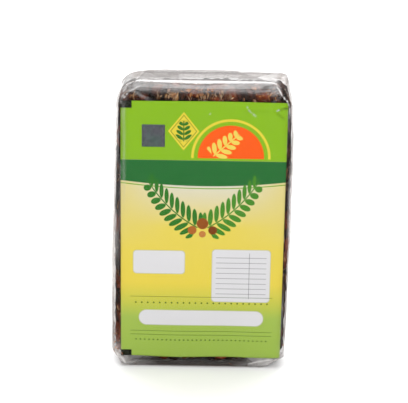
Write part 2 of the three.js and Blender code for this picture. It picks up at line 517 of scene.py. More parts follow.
low = (BLOCK_CENTRE[2] - BLOCK_HALF[2] + BLOCK_ROUNDING - block_points[:, 2]) / BLOCK_ROUNDING
low = np.clip(low, 0, 1)
filled = (1 - ramp(np.abs(block_points[:, 0]), 16, 27)) * ramp(-block_points[:, 1], 2, 5)
block_points[:, 1] -= filled * BLOCK_ROUNDING * ((1 - low**5) ** 0.2 - np.sqrt(1 - low**2))
side = np.maximum(0, np.abs(block_points[:, 0] - BLOCK_CENTRE[0]) - FLAT_UNDERSIDE)
side = side / (BLOCK_HALF[0] - FLAT_UNDERSIDE)
low = np.maximum(0, 1 - (block_points[:, 2] - 1.7) / 14)
block_points[:, 2] += UNDERSIDE_RISE * side**2 * low
block_points = fit_in_wrap(block_points)
block = make_piece("pressed_pulp_block", block_points, block_faces.tolist())
paint_points(block, "tone", lobe_tone)
paint_points(block, "cleft", cleft)
print("block box, mm", block_points.min(axis=0).round(2), block_points.max(axis=0).round(2))

# %% [markdown]
# Where the pulp was torn, paler fibres show in patches. In front, above the label, there are a few
# strong ones, with redder and moister pulp between them. Each patch is a soft-edged oval on the
# surface, and a painted value tells the material. Close to the floor a gloss would mirror its pale
# surface and turn the pulp grey, so where the pulp may shine is painted too.

# %% Paler torn patches and redder ones
PALE_PATCHES = [  # x, z, half width, half height in mm, on the front
    (-29.6, 123.0, 0.8, 1.4),
    (-18.9, 122.8, 0.9, 1.5),
    (-15.2, 122.8, 0.8, 1.2),
    (-13.3, 124.2, 0.9, 1.0),
    (-11.2, 123.2, 1.1, 2.2),
    (-1.2, 123.2, 1.2, 2.4),
    (1.4, 122.8, 1.3, 2.4),
    (4.8, 124.4, 1.2, 2.2),
    (7.8, 123.6, 1.3, 2.4),
    (10.4, 122.4, 0.7, 1.0),
]
RED_PATCHES = [
    (-33.0, 122.6, 2.2, 1.8),
    (-25.0, 122.2, 1.6, 1.2),
    (-4.8, 124.8, 2.6, 2.4),
    (5.8, 121.8, 2.6, 1.4),
    (13.5, 124.4, 2.4, 1.4),
    (25.0, 123.8, 4.0, 1.8),
    (-27.0, 4.0, 4.5, 1.4),
    (-33.5, 20.0, 2.2, 7.0),
]


def ovals(patches, power):
    """0 to 1 for each point of the block: how deep it lies in one of these ovals on the front."""
    inside = np.zeros(len(block_points))
    for x, z, wide, high in patches:
        reach = ((block_points[:, 0] - x) / wide) ** 2 + ((block_points[:, 2] - z) / high) ** 2
        inside = np.maximum(inside, np.exp(-(reach**power)))
    return inside * ramp(-block_points[:, 1], 2.0, 6.0)


scatter = ramp(lumps(block_points + 90, 9), 0.68, 0.9) * ramp(lumps(block_points + 30, 3), 0.3, 0.7)
elsewhere = 0.75 * scatter * (1 - ramp(-block_points[:, 1], 7, 8.5))
pale = np.maximum(ovals(PALE_PATCHES, 1.5), elsewhere)
paint_points(block, "pale", pale)
paint_points(block, "red", ovals(RED_PATCHES, 1))
paint_points(block, "free", ramp(block_points[:, 2], 5, 9))
print("pale share", round(float((pale > 0.3).mean()), 3))

# %% Pulp finish: near black, red-brown and tan, sticky and half glossy
finish = Finish("sticky_pulp")
tone, cleft_mask, pale_mask = (finish.attribute(name) for name in ("tone", "cleft", "pale"))
broad = finish.noise(95, 4, 0.6, shift=(0.3, 0.1, 0.2))
fine = finish.noise(620, 5, 0.62, stretch=(1, 1, 0.45), warp=0.6)
threads = finish.noise(1250, 3, 0.65, stretch=(1, 1, 0.3), warp=0.9)
dark = finish.mix((tone * 1.2 - 0.35 + 0.5 * broad).clamp(), shade(18, 15, 13), shade(50, 31, 22))
warm = finish.mix(fine.step_over(0.5, 0.72) * 0.75, dark, shade(108, 50, 22))
red_share = (tone.step_over(0.62, 0.92) * broad.step_over(0.36, 0.6)).most(finish.attribute("red")) * 0.75
redder = finish.mix(red_share, warm, shade(140, 60, 24))
tan_mix = ((pale_mask * 1.5).clamp() * threads.step_over(0.47, 0.56) * fine.step_over(0.36, 0.5)).clamp()
tan_tone = finish.mix(fine.step_over(0.42, 0.6), shade(138, 80, 40), shade(206, 160, 106))
tanned = finish.mix(tan_mix, redder, tan_tone)
# Painted shade: the clefts between the lobes are darkened almost to black.
deep = finish.mix((cleft_mask * 1.1).clamp() * 0.8, tanned, shade(14, 11, 9))
relief = 0.6 * fine + 0.4 * threads
pulp_finish = finish.close(
    {
        "Base Color": deep,
        "Specular IOR Level": 0.0,
        "Roughness": (0.30 + 0.34 * broad + 0.3 * tan_mix - 0.1 * fine).clamp(),
        "Coat Weight": ((0.06 + 0.14 * fine.step_over(0.45, 0.62)) * finish.attribute("free")).clamp(),
        "Coat Roughness": 0.18,
        "Normal": finish.bump(relief, 0.42, 0.0009),
    }
)
block.data.materials.append(pulp_finish)
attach(block, BODY)
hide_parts("tamarind_block")
print("pulp nodes", len(finish.tree.nodes))

# %% [markdown]
# ## Fibres and bits of husk in the pulp
#
# Tamarind pulp is full of tough veins from the pod, and small flakes of the brittle shell stay in
# it. The veins are paths that wander over the block's surface: each step moves on, turns a little
# and drops back onto the surface. Geometry Nodes then turn all paths into thin tapered tubes.

# %% Paths for the fibres
surface_tree = BVHTree.FromPolygons(block_points.tolist(), block_faces.tolist())
FIBRE_STEP = 1.0
FIBRE_RADIUS = 0.00017  # metres, where a fibre swells to its full size


def fibre_path(origin, heading, steps, wander, sink):
    place = Vector(origin)
    heading = Vector(heading)
    path = []
    for index in range(steps):
        spot, normal, _, _ = surface_tree.find_nearest(place)
        bury = sink * (1 - math.sin(math.pi * index / (steps - 1))) - 0.05
        path.append(spot - normal * bury)
        heading = heading - normal * heading.dot(normal) + Vector(rng.normal(0, wander, 3).tolist())
        heading.normalize()
        place = spot + heading * FIBRE_STEP
    return path


LOOSE_FIBRES = 300
fibre_points, fibre_edges, fibre_pale = [], [], []
paths = []
for _ in range(LOOSE_FIBRES):
    origin = block_points[rng.integers(len(block_points))]
    paths.append((origin, rng.normal(0, 1, 3), int(rng.integers(6, 16)), 0.13, 0.5, 0.0))
for x, z, wide, high in PALE_PATCHES:
    for _ in range(int(7 * wide)):
        origin = (x + rng.normal(0, wide * 0.45), -9.0, z - rng.uniform(0.2, 1.3) * high)
        heading = (rng.normal(0, 0.45), 0, 1)
        paths.append((origin, heading, int(rng.integers(3, 6)), 0.30, 0.20, rng.uniform(0, 1) ** 1.8))
for origin, heading, steps, wander, sink, paleness in paths:
    first = len(fibre_points)
    path = fibre_path(origin, heading, steps, wander, sink)
    fibre_points.extend(path)
    fibre_pale.extend([paleness] * len(path))
    fibre_edges.extend((first + i, first + i + 1) for i in range(len(path) - 1))
print("fibres", len(paths), "points", len(fibre_points))


# %% A class for Geometry Nodes trees
class Recipe(Board):
    """A Geometry Nodes tree with named inputs."""

    def __init__(self, name):
        super().__init__(bpy.data.node_groups.new(name, "GeometryNodeTree"))
        self.sockets = {}
        self.add_socket("Geometry", "NodeSocketGeometry")
        self.tree.interface.new_socket("Geometry", in_out="OUTPUT", socket_type="NodeSocketGeometry")
        self.inputs = self.tree.nodes.new("NodeGroupInput")

    def add_socket(self, name, kind="NodeSocketFloat"):
        made = self.tree.interface.new_socket(name, in_out="INPUT", socket_type=kind)
        self.sockets[name] = made.identifier

    def given(self, name):
        return next(s for s in self.inputs.outputs if s.identifier == self.sockets[name])

    def close(self, geometry, material):
        realized = self.node("GeometryNodeRealizeInstances", None, {0: geometry}).outputs[0]
        coated = self.node("GeometryNodeSetMaterial", None, {"Geometry": realized, "Material": material})
        self.node("NodeGroupOutput", None, {0: coated.outputs[0]})

    def random(self, low, high, seed):
        """A number drawn anew for each point or copy."""
        sockets = {2: low, 3: high, "Seed": seed}
        return self.value("FunctionNodeRandomValue", 1, {"data_type": "FLOAT"}, sockets)

    def apply(self, source, name, **values):
        """Runs the tree on a source object, and keeps the result as a plain mesh in a new object."""
        modifier = source.modifiers.new("tree", "NODES")
        modifier.node_group = self.tree
        for key, value in values.items():
            modifier[self.sockets[key]] = value
        bpy.context.view_layer.update()
        graph = bpy.context.evaluated_depsgraph_get()
        mesh = bpy.data.meshes.new_from_object(source.evaluated_get(graph), depsgraph=graph)
        piece = bpy.data.objects.new(name, mesh)
        bpy.context.scene.collection.objects.link(piece)
        source.modifiers.clear()
        return piece


def drop(piece):
    bpy.data.objects.remove(piece, do_unlink=True)


# %% Fibre finish: dry brown veins, and bleached ones in the torn patches
finish = Finish("pod_fibre")
streak = finish.noise(160, 3, 0.6)
fibre_colour = finish.mix(streak.step_over(0.42, 0.62), shade(56, 36, 27), shade(178, 146, 108))
bleached = finish.noise(1100, 3, 0.6).step_over(0.4, 0.6)
pale_colour = finish.mix(bleached, shade(176, 98, 42), shade(252, 220, 172))
fibre_finish = finish.close(
    {
        "Base Color": finish.mix(finish.attribute("pale"), fibre_colour, pale_colour),
        "Roughness": 0.35 + 0.3 * streak,
        "Normal": finish.bump(finish.noise(2400, 2, 0.5), 0.3, 0.0003),
    }
)
print("fibre nodes", len(finish.tree.nodes))

# %% Tapered tubes along the paths
recipe = Recipe("tubes_along_paths")
recipe.add_socket("Radius")
line = recipe.node("GeometryNodeMeshToCurve", None, {"Mesh": recipe.given("Geometry")})
along = recipe.value("GeometryNodeSplineParameter", "Factor")
swell = (along * (1 - along) * 4) ** 0.4
ring = recipe.node(
    "GeometryNodeCurvePrimitiveCircle", None, {"Resolution": 5, "Radius": recipe.given("Radius")}
)
tube = recipe.node(
    "GeometryNodeCurveToMesh",
    None,
    {
        "Curve": line.outputs[0],
        "Profile Curve": ring.outputs[0],
        "Scale": swell * (0.25 + 0.6 * recipe.random(0.45, 1.3, 3)),
        "Fill Caps": True,
    },
)
recipe.close(tube.outputs[0], fibre_finish)

source = make_piece("fibre_paths", fibre_points, [], fibre_edges)
paint_points(source, "pale", fibre_pale)
fibres = recipe.apply(source, "pod_fibres", Radius=FIBRE_RADIUS)
drop(source)
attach(fibres, BODY)
print("fibre faces", len(fibres.data.polygons))

# %% [markdown]
# The husk flakes are thin curled chips. One chip is modelled, and Geometry Nodes scatter it over
# the block with its own turn and size each time. Half buried chips look pressed in, not glued on.

# %% Flakes of husk
CHIP_SIDES = 11
CHIP_REACH = 0.9


def lid_and_bands(sides, bands):
    """Faces of a fan round point 0, and of the bands between the rings of points after it."""
    around = [(i, (i + 1) % sides) for i in range(sides)]
    made = [(0, 1 + i, 1 + j) for i, j in around]
    for base in range(1, 1 + bands * sides, sides):
        made += [(base + i, base + sides + i, base + sides + j, base + j) for i, j in around]
    return made


def chip_points():
    """A ragged thin chip, about a millimetre across, bent like a bit of shell."""
    angles = np.linspace(0, 2 * np.pi, CHIP_SIDES, endpoint=False)
    reach = 0.8 + 0.35 * np.random.default_rng(5).random(CHIP_SIDES)
    rim = np.stack([reach * np.cos(angles), 0.62 * reach * np.sin(angles)], axis=1)
    layers = []
    for shrink, height in ((0.0, 0.1), (0.55, 0.1), (1.0, 0.02), (0.97, -0.08)):
        ring = rim * shrink if shrink else np.zeros((1, 2))
        lift = height - 0.22 * (ring[:, 0] ** 2)
        layers.append(np.column_stack([ring, lift]))
    return np.concatenate(layers) * CHIP_REACH


chip_vertices = chip_points()
underside = tuple(range(len(chip_vertices) - 1, len(chip_vertices) - 1 - CHIP_SIDES, -1))
chip = make_piece("husk_chip", chip_vertices, [*lid_and_bands(CHIP_SIDES, 2), underside])

finish = Finish("pod_husk")
mottle = finish.noise(420, 4, 0.6)
husk_colour = finish.mix(mottle.step_over(0.35, 0.65), shade(62, 38, 26), shade(150, 108, 74))
husk_finish = finish.close(
    {
        "Base Color": husk_colour,
        "Roughness": 0.42 + 0.3 * mottle,
        "Normal": finish.bump(mottle, 0.5, 0.0004),
    }
)
print("points of a chip", len(chip_vertices))

# %% Copies strewn over faces
WHOLE_TURN = 6.283


def strew(recipe, copied, density, sink, size, spread_seed, spin_seed):
    """Copies of the object in an input, strewn over the faces, each with its own turn."""
    spread = recipe.node(
        "GeometryNodeDistributePointsOnFaces",
        {"distribute_method": "RANDOM"},
        {"Mesh": recipe.given("Geometry"), "Density": density, "Seed": spread_seed},
    )
    inward = recipe.node(
        "ShaderNodeVectorMath", {"operation": "SCALE"}, {0: spread.outputs["Normal"], "Scale": -sink}
    )
    settled = recipe.node(
        "GeometryNodeSetPosition",
        None,
        {"Geometry": spread.outputs["Points"], "Offset": inward.outputs[0]},
    )
    source = recipe.node("GeometryNodeObjectInfo", None, {"Object": recipe.given(copied)})
    spin = recipe.node(
        "FunctionNodeAxisAngleToRotation",
        None,
        {"Axis": (0, 0, 1), "Angle": recipe.random(0.0, WHOLE_TURN, spin_seed)},
    )
    turned = recipe.node(
        "FunctionNodeRotateRotation",
        {"rotation_space": "LOCAL"},
        {"Rotation": spread.outputs["Rotation"], "Rotate By": spin.outputs[0]},
    )
    return recipe.node(
        "GeometryNodeInstanceOnPoints",
        None,
        {
            "Points": settled.outputs[0],
            "Instance": source.outputs["Geometry"],
            "Rotation": turned.outputs[0],
            "Scale": size,
        },
    ).outputs[0]


recipe = Recipe("scatter_on_surface")
recipe.add_socket("Chip", "NodeSocketObject")
for name in ("Density", "Smallest", "Largest"):
    recipe.add_socket(name)
size = recipe.random(recipe.given("Smallest"), recipe.given("Largest"), 8)
flakes = strew(recipe, "Chip", recipe.given("Density"), 0.0, size, spread_seed=11, spin_seed=5)
recipe.close(flakes, husk_finish)
FLAKES_PER_SQUARE_METRE = 11000.0
husk = recipe.apply(
    block, "husk_flakes", Chip=chip, Density=FLAKES_PER_SQUARE_METRE, Smallest=0.3, Largest=1.5
)
drop(chip)
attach(husk, BODY)
print("husk faces", len(husk.data.polygons))

# %% [markdown]
# ## The printed label
#
# The label is a thin sheet caught between the block and the film. It bends back at its upright
# edges, its lower edge waves a little, and the top right corner carries a crease where the film
# was pulled tight. A grid of points follows the wrap's front, and the crease is a narrow ridge.

# %% Label shape
LABEL_WIDTH, LABEL_HEIGHT = 70.0, 116.4
LABEL_LEFT, LABEL_BOTTOM = -34.5, 5.0
LABEL_SHEET = 0.12
LABEL_GRID = (150, 110)
CREASES_ON_LABEL = [  # start x, z; end x, z; height; half width, mm
    (30.2, 118.4, 36.0, 119.8, 0.42, 0.8),
    (30.0, 118.2, 33.8, 115.0, 0.20, 0.7),
    (15.0, 118.0, 28.0, 118.2, 0.08, 0.6),
    (-33.6, 60.0, -34.2, 118.0, 0.10, 1.6),
]


def behind_front(x, z, depth):
    """Where a sheet lies at this depth behind the wrap's front, which bends back at its edges."""
    bend = upright_radius(z)
    right = right_edge(z) - facet_cut(front_face(z), z)
    past = np.maximum(0, np.maximum(left_edge(z) + bend - x, x - right + bend))
    past = np.minimum(past, (bend - depth) * 0.96)
    return -WRAP_DEPTH / 2 + bend - np.sqrt((bend - depth) ** 2 - past**2)


def label_surface(x, z):
    """The label's front, in mm, for arrays of x and z."""
    y = behind_front(x, np.minimum(z, 117.0), FILM_WALL + PLAY)
    flat = as_points(x, 0, z)
    y = y + (0.09 * (lumps(flat, (17, 1, 23)) - 0.5)).reshape(x.shape)
    for x0, z0, x1, z1, height, half in CREASES_ON_LABEL:
        path = np.array([(x0, 0, z0), (x1, 0, z1)])
        gap, _ = distance_to_path(flat, path)
        y = y - (height * np.maximum(0, 1 - gap / half)).reshape(x.shape)
    return y


rows, columns = LABEL_GRID
across = np.sin(np.linspace(-0.5, 0.5, columns) * np.pi) * 0.5 + 0.5
across = 0.5 * across + 0.5 * np.linspace(0, 1, columns)
up = np.linspace(0, 1, rows)
U, V = np.meshgrid(across, up)
X = LABEL_LEFT + LABEL_WIDTH * U
Z = LABEL_BOTTOM + LABEL_HEIGHT * V
Z = Z + 0.25 * np.sin(X / 6.5) * (1 - V) ** 10 + 0.12 * np.sin(X / 11 + 1) * V**14
label_points = as_points(X, label_surface(X, Z), Z)
label = make_piece("printed_label_sheet", label_points, grid_faces(rows, columns))
uv = label.data.uv_layers.new(name="print")
corner_vertex = np.zeros(len(label.data.loops), dtype=int)
label.data.loops.foreach_get("vertex_index", corner_vertex)
flat_uv = as_points(U, V, 0)[corner_vertex, :2]
uv.data.foreach_set("uv", flat_uv.astype(np.float32).ravel())
SHADE_DROP, SHADE_HALF = 0.45, 0.55  # the shaded side of a crease, below its line
# Painted shade: a narrow band on the lower side of each of the first three label creases.
pinch = np.zeros(len(label_points))
for x0, z0, x1, z1, height, half in CREASES_ON_LABEL[:3]:
    path = np.array([(x0, 0, z0 - SHADE_DROP), (x1, 0, z1 - SHADE_DROP)])
    gap, along = distance_to_path(label_points * (1, 0, 1), path)
    shaded = np.maximum(0, 1 - gap / SHADE_HALF) * min(1, height / 0.3)
    pinch = np.maximum(pinch, shaded * ramp(along, 0, 0.4))
paint_points(label, "pinch", pinch)
thicken(label, LABEL_SHEET)
print("label, mm", label_points.min(axis=0).round(2), label_points.max(axis=0).round(2))

# %% [markdown]
# ## The print
#
# The print is a shader on the label's own UV map, so it stays sharp and follows every crease. The
# map is scaled to millimetres, and each shape is a small sum: how far a point lies from a box, a
# disc or a leaf, turned into a soft-edged mask. A whole sprig costs no more nodes than one leaflet,
# because the coordinate along its stem is folded back onto a single leaflet again and again.

# %% Masks in label millimetres
finish = Finish("label_print")
uv_map = finish.node("ShaderNodeUVMap", {"uv_map": "print"}).outputs[0]
split = finish.node("ShaderNodeSeparateXYZ", None, {0: uv_map})
u = Signal(finish, split.outputs[0]) * LABEL_WIDTH
v = Signal(finish, split.outputs[1]) * LABEL_HEIGHT
SOFT = 0.16


def edge_mask(distance):
    """1 inside a shape, 0 outside, from the signed distance to its edge in mm."""
    return (0.5 - distance / SOFT).clamp()


def box_distance(x, y, half_width, half_height, rounding):
    beyond_x = abs(u - x) - (half_width - rounding)
    beyond_y = abs(v - y) - (half_height - rounding)
    outside = (beyond_x.most(0) ** 2 + beyond_y.most(0) ** 2) ** 0.5
    return outside + beyond_x.most(beyond_y).least(0) - rounding


def disc_distance(x, y, radius):
    return ((u - x) ** 2 + (v - y) ** 2) ** 0.5 - radius


def sprig_mask(x, y, angle, length, pitch, leaf, wide, curl):
    """A stem with paired leaflets, from (x, y) at an angle in degrees, that bends by curl."""
    turn = math.radians(angle)
    along = (u - x) * math.cos(turn) + (v - y) * math.sin(turn)
    sideways = (v - y) * math.cos(turn) - (u - x) * math.sin(turn)
    sideways = sideways - curl * along * along
    reach = abs(sideways)
    sheared = along - 0.55 * reach
    cell = (sheared / pitch).floor()
    local = sheared - (cell + 0.5) * pitch
    size = leaf * (1 - 0.45 * (along / length) ** 2)
    leaflet = (local / wide) ** 2 + ((reach - 0.55 * size) / (0.5 * size)) ** 2 - 1
    leaves = edge_mask(leaflet * wide * 0.5)
    inside = along.step_over(0, 0.3) * (1 - along.step_over(length, length + 0.3))
    stem = edge_mask(reach - 0.28)
    return leaves.most(stem) * inside


print("label coordinates ready")

# %% Fields of colour
LEAF_GREEN, SUN_YELLOW = (139, 187, 44), (232, 211, 72)
HEADER_LEVEL = 90.55
fades = finish.node(
    "ShaderNodeValToRGB",
    {
        "stops": [  # share of the label's height, and the colour there
            (0.0, shade(160, 190, 84)),
            (1.0, shade(*LEAF_GREEN)),
            (0.16, shade(166, 192, 88)),
            (0.22, shade(200, 202, 84)),
            (0.30, shade(233, 211, 84)),
            (0.52, shade(231, 211, 96)),
            (0.64, shade(224, 216, 178)),
            (0.70, shade(221, 218, 206)),
        ]
    },
    {0: v / LABEL_HEIGHT},
)
finish.colour = fades.outputs[0]
centre_pull = abs(u - 35) / 35
side_yellow = centre_pull.step_over(0.35, 1.0) * v.step_over(50, 60) * (1 - v.step_over(83, 84))
band_low = 81.4 - 2.2 * (1 - centre_pull * centre_pull)
header = v.step_over(HEADER_LEVEL, HEADER_LEVEL + 0.2)
finish.ink(side_yellow * 0.75, 226, 209, 116)
finish.ink(header, *LEAF_GREEN)
finish.ink(((v - band_low) / SOFT).clamp() * (1 - header), 47, 112, 58)
finish.ink(edge_mask(abs(v - band_low + 1.0) - 0.22), 122, 170, 52)
print("fields ready, nodes", len(finish.tree.nodes))

# %% Motifs
SUN = (46.5, 92.2, 14.0)
above_band = v.step_over(91.6, 91.8)
sun = edge_mask(disc_distance(*SUN)) * above_band
halo = edge_mask(abs(disc_distance(SUN[0], SUN[1], SUN[2] + 2.2)) - 0.55) * above_band
finish.ink(halo, *SUN_YELLOW)
finish.ink(sun, 250, 98, 38)
finish.ink(sprig_mask(SUN[0] - 7.5, 92.6, 42, 14.5, 2.9, 4.4, 1.15, 0.0) * sun, 240, 214, 98)

TAG = (26.5, 103.4, 6.6, 8.4)
tag_distance = (abs(u - TAG[0]) / TAG[2] + abs(v - TAG[1]) / TAG[3] - 1) * 5.2
tag_leaf = sprig_mask(TAG[0], TAG[1] - 4.6, 90, 9.0, 2.1, 3.4, 0.85, 0.0)
finish.ink(edge_mask(tag_distance), *SUN_YELLOW)
finish.ink(edge_mask(abs(tag_distance + 0.9) - 0.12), 70, 120, 40)
finish.ink(tag_leaf * edge_mask(tag_distance + 1.4), 60, 118, 48)

for side, colour in ((-1, (58, 122, 50)), (1, (78, 140, 52))):
    sprig = sprig_mask(35.0 + 2.0 * side, 60.5, 90 - 62 * side, 29.0, 3.1, 6.4, 1.25, 0.010 * side)
    finish.ink(sprig, *colour)
for x, y, radius, colour in (
    (35.0, 62.4, 2.5, (150, 84, 40)),
    (30.6, 59.4, 1.9, (176, 104, 52)),
    (39.4, 59.4, 1.9, (130, 70, 36)),
    (35.0, 57.6, 1.5, (196, 128, 70)),
):
    finish.ink(edge_mask(disc_distance(x, y, radius)), *colour)
print("motifs ready, nodes", len(finish.tree.nodes))

# %% Plain panels, rules and register marks
PANELS = [  # centre u, v, half width, half height, rounding
    (52.0, 38.5, 12.5, 12.0, 1.6),
    (16.5, 44.5, 11.0, 5.2, 1.6),
    (35.0, 18.6, 27.0, 3.4, 3.4),
]
PANEL_RIM = 0.25
RULE_PITCH, RULE_HALF = 2.4, 0.13


def from_middle(value, pitch):
    """How far a value lies from the middle of its own stretch, where stretches repeat."""
    share = value / pitch
    return abs(share - share.floor() - 0.5) * pitch


for x, y, wide, high, rounding in PANELS:
    rim = box_distance(x, y, wide + PANEL_RIM, high + PANEL_RIM, rounding)
    finish.ink(edge_mask(rim), 196, 196, 170)
    finish.ink(edge_mask(box_distance(x, y, wide, high, rounding)), 224, 223, 226)
x, y, wide, high, _ = PANELS[0]
in_table = edge_mask(box_distance(x, y, wide - 1.6, high - 1.4, 0.1))
for distance in (from_middle(v - y + high, RULE_PITCH), abs(u - x - 3.5)):
    finish.ink(edge_mask(distance - RULE_HALF) * in_table * 0.75, 120, 122, 124)
for height in (28.4, 12.2, 10.4):
    hairline = edge_mask(abs(v - height) - 0.11) * edge_mask(abs(u - 35) - 31)
    finish.ink(hairline * 0.8, 52, 92, 40)
for height, spacing, radius in ((8.0, 1.9, 0.36), (25.6, 2.6, 0.4)):
    dots = edge_mask((from_middle(u, spacing) ** 2 + (v - height) ** 2) ** 0.5 - radius)
    finish.ink(dots * edge_mask(abs(u - 35) - 30) * 0.85, 58, 96, 40)
marks = (1 - u.step_over(4.6, 4.75)) * (v.step_over(113.2, 113.35) + 1 - v.step_over(2.8, 2.95))
finish.ink(marks.clamp(), 36, 38, 33)
finish.ink(0.05 * finish.noise(2600, 2, 0.5), 90, 100, 60)
print("panels ready, nodes", len(finish.tree.nodes))

# %% Ink on paper, seen through the film
# The film in front adds a little light, so a little is taken off first. Some black is mixed in everywhere,
# and more on the lower side of each crease, where it is painted shade.
printed = finish.mix(1.0, finish.colour, (0.015, 0.015, 0.015, 1), "SUBTRACT")
printed = finish.mix(0.15 + 0.6 * finish.attribute("pinch"), printed, (0, 0, 0, 1))
print_finish = finish.close(
    {
        "Base Color": printed,
        "Specular IOR Level": 0.07,
        "Roughness": 0.34 + 0.16 * finish.noise(120, 3, 0.5),
        "Normal": finish.bump(finish.noise(900, 2, 0.5), 0.06, 0.0002),
    }
)
label.data.materials.append(print_finish)
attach(label, BODY)
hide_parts("printed_label")
print("print nodes", len(finish.tree.nodes))

# %% [markdown]
# ## The foil square
#
# A small square of dark foil is stamped on the label. It is a thin sheet of its own here, which
# follows the label a hair above it. Real foil of this kind is embossed with fine grooves, so its
# grey breaks into faint colours and darker blots.

# %% Foil patch
FOIL_LEFT, FOIL_BOTTOM, FOIL_SIDE = 8.9, 96.4, 9.75  # on the label
FOIL_GRID = (26, 26)
FOIL_LIFT, FOIL_SHEET = 0.05, 0.03
U, V = unit_grid(*FOIL_GRID)
X = LABEL_LEFT + FOIL_LEFT + FOIL_SIDE * U
Z = LABEL_BOTTOM + FOIL_BOTTOM + FOIL_SIDE * V
foil = make_piece("foil_square", as_points(X, label_surface(X, Z) - FOIL_LIFT, Z), grid_faces(*FOIL_GRID))
thicken(foil, FOIL_SHEET)

finish = Finish("embossed_foil")
blots = finish.noise(700, 5, 0.7, warp=0.8)
grooves = finish.noise(5200, 1, 0.5, stretch=(1, 1, 0.2))
tint = finish.noise(260, 2, 0.5, shift=(0.4, 0.2, 0.1))
foil_grey = finish.mix(blots.step_over(0.36, 0.62), shade(30, 36, 37), shade(72, 82, 81))
foil_tint = finish.mix(tint.step_over(0.35, 0.65), shade(70, 96, 88), shade(98, 88, 104))
foil_finish = finish.close(
    {
        "Base Color": finish.mix(0.35, foil_grey, foil_tint),
        "Metallic": 0.55,
        "Roughness": 0.32 + 0.25 * blots,
        "Normal": finish.bump(grooves + blots, 0.35, 0.0002),
    }
)
foil.data.materials.append(foil_finish)
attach(foil, BODY)
print("foil nodes", len(finish.tree.nodes))

# %% [markdown]
# ## The film
#
# The wrap is one web of clear film. It goes round the block, laps over itself at the back, and is
# folded like an envelope at both ends: the sides are tucked in first, then a flap from the back
# and one from the front are laid over them. Such film is so thin that a single sheet of faces
# looks right. What makes it read as film is its creases: narrow straight ridges that fan out from
# the corners. The body is a grid of rings up the packet's height, and each crease is a path over it
# that lifts the nearby points like the ridge of a tent.

# %% Rings of the film body
FILM_INSET = 0.12
CORNER_POINTS, FRONT_POINTS, SIDE_POINTS, BACK_POINTS = 8, 104, 17, 84


def bend_corner(before, at, after, radius):
    """Points round a corner, for arrays of corner places."""
    radius = np.asarray(radius)[:, None]
    to_before = before - at
    to_after = after - at
    start = at + to_before / np.linalg.norm(to_before, axis=-1, keepdims=True) * radius
    end = at + to_after / np.linalg.norm(to_after, axis=-1, keepdims=True) * radius
    t = np.linspace(0, 1, CORNER_POINTS)[None, :, None]
    start, middle, end = start[:, None], at[:, None], end[:, None]
    return start * (1 - t) ** 2 + 2 * middle * t * (1 - t) + end * t**2


def film_rings(z):
    """Rings of the wrap in plan, one for each height, as an array of rings, points and x, y."""
    left, right = left_edge(z) + FILM_INSET, right_edge(z) - FILM_INSET
    front, back = front_face(z) + FILM_INSET, back_face(z) - FILM_INSET
    quad = [
        np.stack([left, front], axis=-1),
        np.stack([right - facet_cut(front, z), front], axis=-1),
        np.stack([right, back], axis=-1),
        np.stack([left, back], axis=-1),
    ]
    bends = [bend_corner(quad[i - 1], quad[i], quad[(i + 1) % 4], upright_radius(z)) for i in range(4)]
    counts = (FRONT_POINTS, SIDE_POINTS, BACK_POINTS, SIDE_POINTS)
    parts = []
    for i in range(4):
        parts.append(bends[i])
        t = np.linspace(0, 1, counts[i] + 2)[1:-1][None, :, None]
        parts.append(bends[i][:, -1:] * (1 - t) + bends[(i + 1) % 4][:, :1] * t)
    return np.concatenate(parts, axis=1)


heights = np.concatenate(
    [  # rows lie closest where the film bends most, at the foot and at the top
        np.arange(FOOT_LEVEL, 3, 0.3),
        np.arange(3, 12, 0.55),
        np.arange(12, 117, 0.66),
        np.arange(117, SHELL_TOP, 0.32),
        [SHELL_TOP],
    ]
)
plan = film_rings(heights)
body = np.concatenate([plan, np.broadcast_to(heights[:, None, None], (*plan.shape[:2], 1))], axis=2)


def sloped_front(x, z):
    """The front's depth at this place, with its arched slope near the top."""
    lip = lip_level(x)
    return -WRAP_DEPTH / 2 + FILM_INSET + TOP_BEVEL * np.clip((z - lip) / (SHELL_TOP - lip), 0, 1)


x, y, z = (body[..., axis].copy() for axis in range(3))
plain_front = front_face(z) + FILM_INSET
forward = np.clip((back_face(z) - y) / (back_face(z) - plain_front), 0, 1)
body[..., 1] += (sloped_front(x, z) - plain_front) * forward * ramp(z, 60, 100)
body[..., 2] += REAR_RISE * near_top(z) ** 2 * (1 - forward)
print("film rings", body.shape)


# %% Tucked ends, drawn in over the top and under the base
TUCK_ROWS = 18
GAP_WIDE, GAP_DEEP = 0.42, 0.34  # what the tucks leave open, as shares of the ring's size
SMOOTHING_ROUNDS = 14


def tuck(ring, rows, slump):
    """Rows that run from a ring towards the middle and leave a gap there, under the end folds."""
    middle = ring.mean(axis=0)
    target = ring.copy()
    target[:, :2] = middle[:2] + (ring[:, :2] - middle[:2]) * (GAP_WIDE, GAP_DEEP)
    steps = np.linspace(0, 1, rows + 1)[1:, None, None]
    made = ring * (1 - steps) + target * steps
    made[..., 2] = ring[:, 2] + slump * np.sin(steps[..., 0] * np.pi * 0.9)
    return made


top_tuck = tuck(body[-1], TUCK_ROWS, 0.10)
base_tuck = tuck(body[0], TUCK_ROWS, 0.2)[::-1]
skin = np.concatenate([base_tuck, body, top_tuck])
ROWS, COLUMNS = skin.shape[:2]


def soften(grid, first, last):
    """Rounds the fold across the rows between first and last."""
    for _ in range(SMOOTHING_ROUNDS):
        beside = grid[first - 1 : last - 1] + grid[first + 1 : last + 1]
        grid[first:last] = 0.5 * grid[first:last] + 0.25 * beside


ridge_row = TUCK_ROWS + len(heights) - 1
soften(skin, ridge_row - 8, ridge_row + 7)
around = np.roll(skin, -1, axis=1) - np.roll(skin, 1, axis=1)
upward = np.gradient(skin, axis=0)
skin_normal = np.cross(around, upward)
skin_normal /= np.maximum(np.linalg.norm(skin_normal, axis=2, keepdims=True), 1e-9)
print("film skin", skin.shape)

